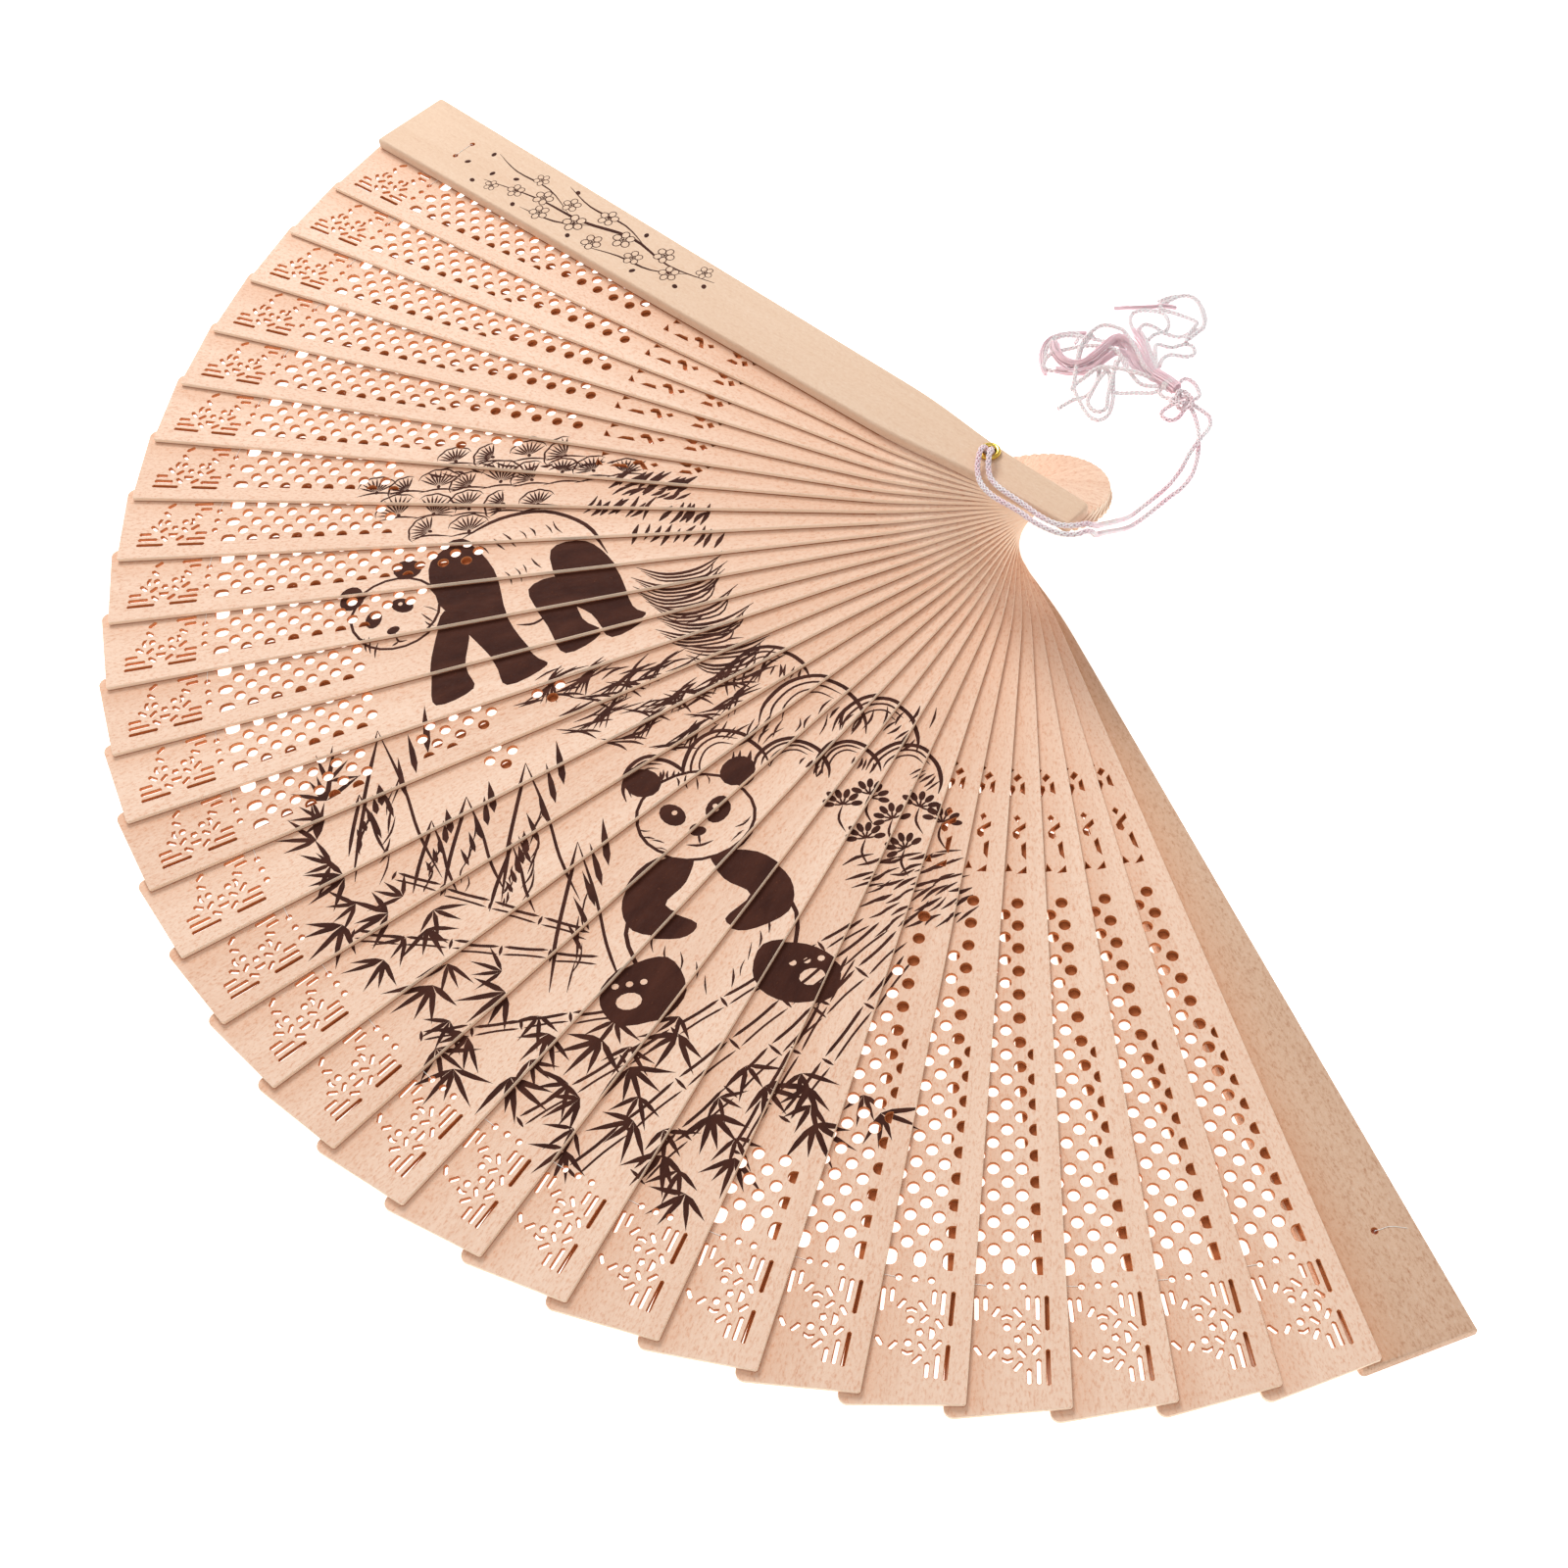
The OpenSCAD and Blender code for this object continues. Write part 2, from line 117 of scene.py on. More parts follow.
# The tassel's long braided strands, its floss and its head, in millimetres
TASSEL_STRANDS = [
    [(-22, 61.5, 2.4), (-26.5, 62.1, 2.4), (-30.8, 64.4, 2.2), (-34.2, 66.3, 1.8), (-36.4, 66.6, 1.3),
     (-40.3, 68, 0.9), (-42.7, 70.2, 0.7), (-42.4, 72.8, 0.7), (-39.2, 75.8, 0.7), (-35.7, 75, 1.0),
     (-33.4, 72.6, 1.2), (-34, 69.7, 1.1), (-33.2, 67.2, 1.4)],
    [(-22, 61, 2.8), (-27.5, 63.4, 2.8), (-33, 66.4, 2.2), (-36.6, 67.4, 1.7), (-37.9, 70, 1.2),
     (-36, 71.3, 1.1), (-32.9, 72.2, 0.7), (-30.1, 74.1, 0.7), (-30, 76.8, 0.7), (-29.6, 79.5, 0.7),
     (-31.5, 82.2, 0.7), (-35.5, 84.2, 0.7), (-39.5, 84.2, 0.7), (-41.8, 81, 0.7), (-42.4, 77.5, 0.7)],
    [(-27.8, 74.4, 1.6), (-28.6, 77.5, 1.2), (-29.4, 80.2, 1.2), (-33, 82.6, 1.1), (-37, 84.4, 1.1),
     (-40.1, 83.4, 1.0), (-41.0, 80.2, 0.8), (-40.6, 76.6, 0.7), (-35.9, 78.6, 0.7),
     (-31.9, 79.9, 0.8), (-30.7, 78.6, 1.1), (-28.9, 75.2, 1.6), (-27.4, 73.2, 1.5)],
    [(-22, 60.8, 2.6), (-27, 64.4, 2.6), (-30.9, 67.8, 1.4), (-28.6, 70, 1.0), (-27.6, 72.8, 1.0),
     (-26.3, 74.1, 0.8), (-24.2, 73.2, 0.7), (-24.3, 71.1, 0.7), (-26.9, 68.8, 0.7),
     (-26.8, 66.3, 1.0), (-24.6, 63.6, 1.8)],
    [(-22, 60.4, 2.6), (-25.5, 60.1, 3.2), (-30, 61.6, 3.4), (-36.5, 63.4, 3.4), (-39.1, 63.2, 3.2),
     (-41.9, 61.3, 3.0), (-41.8, 57.6, 2.8), (-39.6, 53.2, 2.6), (-35.5, 49, 2.0), (-32.6, 46.2, 1.2),
     (-31.3, 44.4, 0.8)],
    [(-21.5, 60.2, 2.0), (-26, 57.5, 2.8), (-31.7, 53.3, 2.4), (-32.2, 48.6, 1.4), (-31.7, 45.6, 0.9),
     (-28.6, 44.3, 0.7), (-23.4, 42.8, 0.7), (-20.4, 43.4, 0.7), (-20.5, 46.4, 0.7),
     (-23.9, 50.3, 0.8), (-28.2, 53.6, 1.5), (-31.3, 56.8, 2.6)],
    [(-31, 57.6, 3.2), (-29.2, 54.6, 2.2), (-24.8, 49.6, 1.6), (-21.8, 46.6, 1.3), (-22.4, 44.3, 1.3),
     (-25.6, 44.6, 1.3), (-27.6, 47.2, 1.2), (-29.6, 50.4, 1.2), (-31, 53.6, 1.4)],
    [(-33.5, 54, 1.4), (-30.6, 51.2, 0.8), (-28.0, 46.5, 0.7), (-28.7, 42.9, 0.7), (-28.5, 38.7, 0.7)],
    [(-19.4, 60.2, 1.2), (-19.8, 57.9, 0.8), (-22, 55.3, 0.7), (-24.3, 52.2, 0.7), (-26.4, 51.4, 0.8),
     (-30.5, 54.2, 1.2), (-34.5, 53.4, 1.2), (-38.5, 50, 1.0), (-42.8, 48.8, 0.9), (-46.4, 50.2, 0.8),
     (-47.4, 53.2, 0.8), (-44.8, 56.8, 0.9), (-42.6, 54.2, 1.0)],
    [(-20.2, 59.6, 1.5), (-23.2, 57.2, 1.4), (-28.5, 57.6, 2.0), (-34, 58.8, 2.6), (-38.4, 56, 2.4),
     (-41.4, 51.6, 1.8), (-43.2, 47.4, 1.0), (-40.8, 44.1, 0.8), (-37.6, 46.4, 0.8),
     (-37.2, 50.4, 1.2), (-40.2, 54.4, 1.8), (-41.3, 58.2, 2.2)],
    [(-22, 61.6, 1.4), (-25.8, 60.4, 1.2), (-30, 59.4, 1.2), (-35.2, 61.4, 1.2), (-39.2, 59.4, 1.2),
     (-43.4, 56.8, 0.9), (-46.6, 53.6, 0.7), (-46.2, 49.2, 0.7), (-42.2, 45.2, 0.7)],
]
# Each bundle of floss: its line, how many threads, how wide it spreads and how far it wanders
TASSEL_FLOSS = [
    ([(-21.5, 61, 2.2), (-23.3, 60.2, 2.4), (-27.8, 61.0, 2.6), (-32.5, 62.4, 2.6), (-35.9, 62.2, 2.6),
      (-36.9, 60.6, 2.6), (-36.2, 57.2, 2.5), (-35.4, 53.1, 2.2), (-36.0, 49.8, 1.8),
      (-38.8, 48.5, 1.4), (-42.8, 49.1, 1.2), (-45.4, 50.5, 1.1)], 85, 1.25, 0.2),
    ([(-22.2, 61.2, 2.2), (-26.5, 62.6, 2.2), (-30.8, 64.8, 2.0), (-34.6, 66.3, 1.6),
      (-37.5, 67.0, 1.3)], 60, 1.15, 0.2),
    ([(-23, 60.5, 1.8), (-27.5, 59.6, 1.7), (-31.5, 60.8, 1.7), (-34.2, 59.4, 1.7),
      (-34.0, 55.2, 1.6), (-33.4, 51.6, 1.4), (-35.6, 47.8, 1.2), (-38.4, 45.6, 1.1)], 55, 0.95, 0.2),
    ([(-38.8, 43.2, 0.8), (-42.6, 44.8, 0.8), (-46.2, 48.0, 0.8), (-47.6, 51.5, 0.8),
      (-46.6, 54.6, 0.8), (-44.0, 58.4, 0.8)], 40, 0.55, 0.15),
    ([(-46.8, 68.4, 0.7), (-45.0, 71.2, 0.7), (-42.6, 74.4, 0.7), (-40.4, 77.8, 0.7),
      (-38.2, 79.4, 0.8)], 34, 0.5, 0.12),
]
TASSEL_HEAD = [(-16.6, 61.9, 2.0), (-18.4, 61.7, 2.2), (-20.4, 61.3, 2.35), (-22.6, 60.9, 2.3)]

# ---- Colour and small helpers ----


def tint(code):
    """A colour written as six hexadecimal digits, as linear red, green, blue and alpha."""
    parts = [int(code[i : i + 2], 16) / 255 for i in (0, 2, 4)]
    return tuple(c / 12.92 if c <= 0.04045 else ((c + 0.055) / 1.055) ** 2.4 for c in parts) + (1,)


def smooth_line(points, closed=False, per_span=5):
    """Points of a soft curve that passes through the given ones, with as many coordinates."""
    count = len(points)
    dims = len(points[0])
    spans = count if closed else count - 1
    out = []
    for i in range(spans):
        if closed:
            a, b, c, d = (points[(i + j - 1) % count] for j in range(4))
        else:
            a, b, c, d = (points[min(max(i + j - 1, 0), count - 1)] for j in range(4))
        for step in range(per_span):
            t = step / per_span
            out.append(tuple(
                0.5 * (2 * b[n] + (c[n] - a[n]) * t
                       + (2 * a[n] - 5 * b[n] + 4 * c[n] - d[n]) * t * t
                       + (3 * b[n] - a[n] - 3 * c[n] + d[n]) * t * t * t)
                for n in range(dims)
            ))
    if not closed:
        out.append(tuple(points[-1]))
    return out


def new_object(name, data):
    made = bpy.data.objects.new(name, data)
    bpy.context.scene.collection.objects.link(made)
    return made


def stick_direction(index):
    """Angle of a stick's centre line, in radians; 0 is the rear guard."""
    return math.radians(REAR_DIRECTION - index * STEP) - math.atan2(PIVOT_OFF, STICK_LENGTH)


def heights(node):
    """Lowest and highest level of a part, in millimetres."""
    return [corner.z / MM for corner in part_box(node)]


def turned(x, y, angle):
    """A place turned about the origin."""
    c, s = math.cos(angle), math.sin(angle)
    return x * c - y * s, x * s + y * c


def polar(at, distance, angle):
    """The place at a distance and an angle from another."""
    return at[0] + distance * math.cos(angle), at[1] + distance * math.sin(angle)


# ---- Node helpers ----


class Nodes:
    """Adds nodes to a tree and links them in one line each."""

    def __init__(self, tree):
        self.tree = tree

    def add(self, kind, settings=None, **inputs):
        node = self.tree.nodes.new(kind)
        for key, value in (settings or {}).items():
            setattr(node, key, value)
        for key, value in inputs.items():
            number = key.lstrip("i")
            self.give(node.inputs[int(number) if number.isdigit() else key.replace("_", " ")], value)
        return node

    def give(self, socket, value):
        """Links a socket to another one, or sets its constant."""
        if isinstance(value, bpy.types.NodeSocket):
            self.tree.links.new(value, socket)
        else:
            socket.default_value = value

    def attribute(self, name, output="Vector"):
        return self.add("ShaderNodeAttribute", {"attribute_name": name}).outputs[output]

    def math(self, operation, a, b=0.0):
        return self.add("ShaderNodeMath", {"operation": operation}, i0=a, i1=b).outputs[0]

    def vector(self, operation, a, b):
        return self.add("ShaderNodeVectorMath", {"operation": operation}, i0=a, i1=b).outputs[0]

    def scaled(self, a, scale):
        return self.add("ShaderNodeVectorMath", {"operation": "SCALE"}, i0=a, Scale=scale).outputs[0]

    def noise(self, vector, scale, detail=4.0, rough=0.55):
        return self.add(
            "ShaderNodeTexNoise", Vector=vector, Scale=scale, Detail=detail, Roughness=rough
        ).outputs["Fac"]

    def stretch(self, vector, scale):
        return self.add("ShaderNodeMapping", Vector=vector, Scale=scale).outputs[0]

    def ramp(self, factor, low, high, start=0.0, end=1.0):
        return self.add(
            "ShaderNodeMapRange", {"clamp": True}, Value=factor, From_Min=low, From_Max=high,
            To_Min=start, To_Max=end,
        ).outputs[0]

    def mix(self, factor, a, b, blend="MIX"):
        node = self.tree.nodes.new("ShaderNodeMix")
        node.data_type = "RGBA"
        node.blend_type = blend
        for number, value in ((0, factor), (6, a), (7, b)):
            self.give(node.inputs[number], value)
        return node.outputs[2]

    def finish(self, shader, colour, roughness, bump, depth, height, **others):
        """Wires a shader's colour, roughness and relief, and sets its other inputs."""
        relief = self.add("ShaderNodeBump", Strength=bump, Distance=depth, Height=height)
        for label, value in (("Base Color", colour), ("Roughness", roughness),
                             ("Normal", relief.outputs[0])):
            self.tree.links.new(value, shader.inputs[label])
        for label, value in others.items():
            shader.inputs[label.replace("_", " ")].default_value = value


def new_material(name):
    """An empty material: its node adder and its shader."""
    material = bpy.data.materials.new(name)
    material.use_nodes = True
    shader = material.node_tree.nodes["Principled BSDF"]
    return material, Nodes(material.node_tree), shader


def wood_material(name, light, dark, streak, pores, bump, painted_cover_shade=False):
    """Planed wood along each stick; when asked, painted shade darkens and warms its upper face beside
    and under the next stick.
    """
    material, n, shader = new_material(name)
    grain = n.attribute("grain")
    shade = n.attribute("shade", "Fac")
    streaks = n.noise(n.stretch(grain, (45, 900, 500)), 1.0, 5.0, 0.6)
    bands = n.noise(n.stretch(grain, (9, 120, 60)), 1.0, 3.0)
    speckle = n.noise(n.stretch(grain, (1100, 2300, 2300)), 1.0, 3.0, 0.7)
    fleck = n.noise(n.stretch(grain, (160, 1500, 900)), 1.0, 2.0)
    blend = n.math("ADD", n.math("MULTIPLY", streaks, streak), n.math("MULTIPLY", bands, 0.45))
    blend = n.math("ADD", blend, n.math("MULTIPLY", shade, 0.1))
    colour = n.mix(n.ramp(blend, 0.3, 0.95), light, dark)
    colour = n.mix(n.ramp(speckle, 0.5, 0.78, 0.0, pores), colour, dark, "MULTIPLY")
    colour = n.mix(n.ramp(speckle, 0.2, 0.42, 0.22, 0.0), colour, (1, 0.95, 0.9, 1))
    colour = n.mix(n.ramp(fleck, 0.66, 0.8, 0.0, 0.3), colour, dark, "MULTIPLY")
    if painted_cover_shade:
        gap = n.attribute("cover_gap", "Fac")
        # Painted shade: a warm darker band up to 6 mm wide beside the next stick's edge, and deep
        # orange-brown under that stick
        colour = n.mix(n.ramp(gap, 0.0, 0.006, 0.34, 0.0), colour, tint("D6966C"))
        colour = n.mix(n.ramp(gap, 0.00012, -0.00012), colour, tint("BA6A38"))
    height = n.math("ADD", n.math("MULTIPLY", speckle, 0.7), n.math("MULTIPLY", streaks, 0.8))
    n.finish(shader, colour, n.ramp(speckle, 0.3, 0.7, 0.55, 0.75), bump, 0.00012, height,
             Specular_IOR_Level=0.3)
    return material


def ink_material():
    """Brown-black print, soaked into the wood so that pale pores show through."""
    material, n, shader = new_material("brown_ink")
    grain = n.attribute("grain")
    speckle = n.noise(n.stretch(grain, (1300, 2500, 2500)), 1.0, 3.0, 0.7)
    cloud = n.noise(n.stretch(grain, (120, 300, 300)), 1.0, 3.0)
    colour = n.mix(n.ramp(cloud, 0.35, 0.7), tint("3A1A11"), tint("4C271B"))
    colour = n.mix(n.ramp(speckle, 0.62, 0.8, 0.0, 0.5), colour, tint("8A5A45"))
    n.finish(shader, colour, n.ramp(speckle, 0.3, 0.7, 0.6, 0.8), 0.3, 0.00008, speckle,
             Specular_IOR_Level=0.12)
    return material


def brass_material():
    """Bright pressed brass with fine turning marks."""
    material, n, shader = new_material("bright_brass")
    place = n.attribute("turning")
    marks = n.noise(n.stretch(place, (60, 60, 9000)), 1.0, 3.0)
    wear = n.noise(place, 900.0, 4.0)
    colour = n.mix(n.ramp(wear, 0.35, 0.75), tint("F5D66A"), tint("C89A3C"))
    n.finish(shader, colour, n.ramp(wear, 0.3, 0.7, 0.14, 0.3), 0.15, 0.00005, marks, Metallic=1.0)
    return material


def silk_material(name, pale, deep, fleck, dip_shade_amount):
    """Spun silky thread: fine fibres, a soft sheen, darker flecks, and painted shade where a plait dips
    under another.
    """
    material, n, shader = new_material(name)
    place = n.attribute("fibre")
    cover = n.attribute("hollow", "Fac")
    strands = n.noise(n.stretch(place, (2600, 2600, 2600)), 1.0, 3.0, 0.6)
    drift = n.noise(n.stretch(place, (140, 140, 140)), 1.0, 2.0)
    colour = n.mix(n.ramp(drift, 0.35, 0.65), pale, deep)
    # Painted shade: the fleck colour laid where a plait dips under its neighbours
    colour = n.mix(n.math("MULTIPLY", cover, dip_shade_amount), colour, fleck)
    colour = n.mix(n.ramp(strands, 0.58, 0.8, 0.0, 0.22), colour, fleck)
    n.finish(shader, colour, n.ramp(strands, 0.3, 0.7, 0.5, 0.7), 0.4, 0.00005, strands,
             Sheen_Weight=0.3, Subsurface_Weight=0.3, Subsurface_Scale=1.0,
             Subsurface_Radius=(0.0006, 0.0003, 0.0003))
    return material


def floor_material():
    """Matt white table top with the slightest unevenness."""
    material, n, shader = new_material("table_top")
    place = n.attribute("fibre")
    cloud = n.noise(place, 3.0, 3.0)
    n.tree.links.new(n.mix(cloud, tint("FAFAF9"), tint("FFFFFF")), shader.inputs["Base Color"])
    shader.inputs["Roughness"].default_value = 0.9
    shader.inputs["Specular IOR Level"].default_value = 0.1
    shader.inputs["Emission Color"].default_value = (1, 1, 1, 1)
    shader.inputs["Emission Strength"].default_value = 0.7
    return material


# ---- Geometry Nodes trees ----


def new_tree(name, sockets):
    """A geometry tree with named inputs: each is name, kind and default."""
    tree = bpy.data.node_groups.new(name, "GeometryNodeTree")
    tree.interface.new_socket("Geometry", in_out="INPUT", socket_type="NodeSocketGeometry")
    tree.interface.new_socket("Geometry", in_out="OUTPUT", socket_type="NodeSocketGeometry")
    for label, kind, default in sockets:
        socket = tree.interface.new_socket(label, in_out="INPUT", socket_type="NodeSocket" + kind)
        if default is not None:
            socket.default_value = default
    n = Nodes(tree)
    return tree, n, n.add("NodeGroupInput").outputs


def close_tree(n, geometry, material):
    """Ends a tree in Set Material and Realize Instances."""
    painted = n.add("GeometryNodeSetMaterial", Geometry=geometry, Material=material).outputs[0]
    real = n.add("GeometryNodeRealizeInstances", Geometry=painted).outputs[0]
    n.add("NodeGroupOutput", Geometry=real)


def store(n, geometry, name, kind, value):
    node = n.add("GeometryNodeStoreNamedAttribute", {"data_type": kind, "domain": "POINT"},
                 Geometry=geometry, Name=name)
    n.tree.links.new(value, node.inputs["Value"])
    return node.outputs[0]


def copied_line(n, given, count):
    """Copies of the guide line in even steps: their geometry and their numbers."""
    line = n.add("GeometryNodeResampleCurve", {"mode": "LENGTH"}, Curve=given["Geometry"],
                 Length=given["Step"]).outputs[0]
    copies = n.add("GeometryNodeDuplicateElements", {"domain": "SPLINE"}, Geometry=line,
                   Amount=given[count])
    return copies.outputs["Geometry"], copies.outputs["Duplicate Index"]


def round_line(n, radius, angle):
    """The offset to a place round the line, at a radius and an angle."""
    side = n.add("GeometryNodeInputNormal").outputs[0]
    other = n.vector("CROSS_PRODUCT", n.add("GeometryNodeInputTangent").outputs[0], side)
    return n.vector("ADD", n.scaled(side, n.math("MULTIPLY", radius, n.math("COSINE", angle))),
                    n.scaled(other, n.math("MULTIPLY", radius, n.math("SINE", angle))))


def close_tube(n, curve, given, thickness):
    """Ends a tree in solid threads that know where they lay."""
    ring = n.add("GeometryNodeCurvePrimitiveCircle", Resolution=given["Sides"],
                 Radius=given[thickness]).outputs[0]
    tube = n.add("GeometryNodeCurveToMesh", Curve=curve, Profile_Curve=ring, Fill_Caps=True).outputs[0]
    place = n.add("GeometryNodeInputPosition").outputs[0]
    close_tree(n, store(n, tube, "fibre", "FLOAT_VECTOR", place), given["Material"])


def braid_tree():
    """Plaits that cross over and under each other around a guide line."""
    tree, n, given = new_tree("braid_round_line", [
        ("Plaits", "Int", 8), ("Sheath Radius", "Float", 0.00036), ("Swell", "Float", 0.00008),
        ("Plait Radius", "Float", 0.00016), ("Pitch", "Float", 0.0048), ("Step", "Float", 0.0003),
        ("Sides", "Int", 5), ("Material", "Material", None),
    ])
    copies, number = copied_line(n, given, "Plaits")
    along = n.add("GeometryNodeSplineParameter").outputs["Length"]
    turn = n.math("MULTIPLY", n.math("DIVIDE", along, given["Pitch"]), math.tau)
    way = n.math("SUBTRACT", 1.0, n.math("MULTIPLY", n.math("MODULO", number, 2.0), 2.0))
    half = n.math("MULTIPLY", given["Plaits"], 0.5)
    start = n.math("DIVIDE", n.math("MULTIPLY", n.math("FLOOR", n.math("MULTIPLY", number, 0.5)),
                                    math.tau), half)
    angle = n.math("ADD", n.math("MULTIPLY", way, turn), start)
    wave = n.math("COSINE", n.math("MULTIPLY", half, turn))
    over = n.math("MULTIPLY", way, wave)
    radius = n.math("ADD", given["Sheath Radius"], n.math("MULTIPLY", over, given["Swell"]))
    # hollow marks how far a plait dips under another, where the silk paints shade
    hollow = store(n, copies, "hollow", "FLOAT", n.ramp(over, -0.45, -1.0))
    moved = n.add("GeometryNodeSetPosition", Geometry=hollow, Offset=round_line(n, radius, angle))
    close_tube(n, moved.outputs[0], given, "Plait Radius")
    return tree


def floss_tree():
    """A loose bundle of fine threads that follows a guide line."""
    tree, n, given = new_tree("floss_along_line", [
        ("Threads", "Int", 60), ("Spread", "Float", 0.001), ("Thread Radius", "Float", 0.00006),
        ("Wander", "Float", 0.0004), ("Step", "Float", 0.0012), ("Seed", "Int", 3),
        ("Sides", "Int", 4), ("Material", "Material", None),
    ])
    copies, number = copied_line(n, given, "Threads")
    draws = []
    for shift in (0, 11):
        seed = n.math("ADD", given["Seed"], float(shift))
        draw = n.add("FunctionNodeRandomValue", {"data_type": "FLOAT"}, ID=number, Seed=seed)
        draws.append(draw.outputs[1])
    radius = n.math("MULTIPLY", given["Spread"], n.math("SQRT", draws[0]))
    angle = n.math("MULTIPLY", draws[1], math.tau)
    place = n.add("GeometryNodeInputPosition").outputs[0]
    lane = n.add("ShaderNodeCombineXYZ", X=n.math("MULTIPLY", number, 0.37),
                 Y=n.math("MULTIPLY", number, 0.71)).outputs[0]
    cloud = n.add("ShaderNodeTexNoise", Vector=n.vector("ADD", place, lane), Scale=130.0)
    drift = n.scaled(n.vector("SUBTRACT", cloud.outputs["Color"], (0.5, 0.5, 0.5)),
                     n.math("MULTIPLY", given["Wander"], 4.0))
    shift = n.vector("ADD", round_line(n, radius, angle), drift)
    moved = n.add("GeometryNodeSetPosition", Geometry=copies, Offset=shift).outputs[0]
    close_tube(n, moved, given, "Thread Radius")
    return tree


def stitch_tree():
    """A thin thread that follows a guide line."""
    tree, n, given = new_tree("stitch_along_line", [
        ("Thread Radius", "Float", 0.00006), ("Sides", "Int", 6), ("Material", "Material", None),
    ])
    close_tube(n, given["Geometry"], given, "Thread Radius")
    return tree


TREES = {}


def shared_tree(maker):
    """Each tree is built once and then shared."""
    if maker not in TREES:
        TREES[maker] = maker()
    return TREES[maker]


def grown_mesh(lines, maker, values):
    """The plain mesh that a tree grows along guide lines given in millimetres."""
    guide = bpy.data.curves.new("guide", "CURVE")
    guide.dimensions = "3D"
    for line in lines:
        spline = guide.splines.new("POLY")
        spline.points.add(len(line) - 1)
        for point, place in zip(spline.points, line):
            point.co = (*(c * MM for c in place), 1)
    holder = new_object("guide", guide)
    tree = shared_tree(maker)
    modifier = holder.modifiers.new("grow", "NODES")
    modifier.node_group = tree
    identifiers = {s.name: s.identifier for s in tree.interface.items_tree if s.in_out == "INPUT"}
    for label, value in values.items():
        modifier[identifiers[label]] = value
    bpy.context.view_layer.update()
    evaluated = holder.evaluated_get(bpy.context.evaluated_depsgraph_get())
    mesh = bpy.data.meshes.new_from_object(evaluated)
    bpy.data.objects.remove(holder)
    bpy.data.curves.remove(guide)
    return mesh


def braided(lines, silk, sheath, swell, plait, pitch, step, sides=5, plaits=8):
    """The mesh of a braid along guide lines; its measures are in metres."""
    return grown_mesh(lines, braid_tree, {
        "Plaits": plaits, "Sheath Radius": sheath, "Swell": swell, "Plait Radius": plait,
        "Pitch": pitch, "Step": step, "Sides": sides, "Material": silk,
    })


def joined(name, meshes):
    """One object from several plain meshes, keeping each one's material."""
    parts = [new_object(name, mesh) for mesh in meshes]
    if len(parts) > 1:
        with bpy.context.temp_override(
            active_object=parts[0], object=parts[0], selected_objects=parts,
            selected_editable_objects=parts,
        ):
            bpy.ops.object.join()
    made = parts[0]
    made.name = name
    for face in made.data.polygons:
        face.use_smooth = True
    return made


# ---- Printed picture ----

PICTURE_RIGHT = math.radians(57.7)


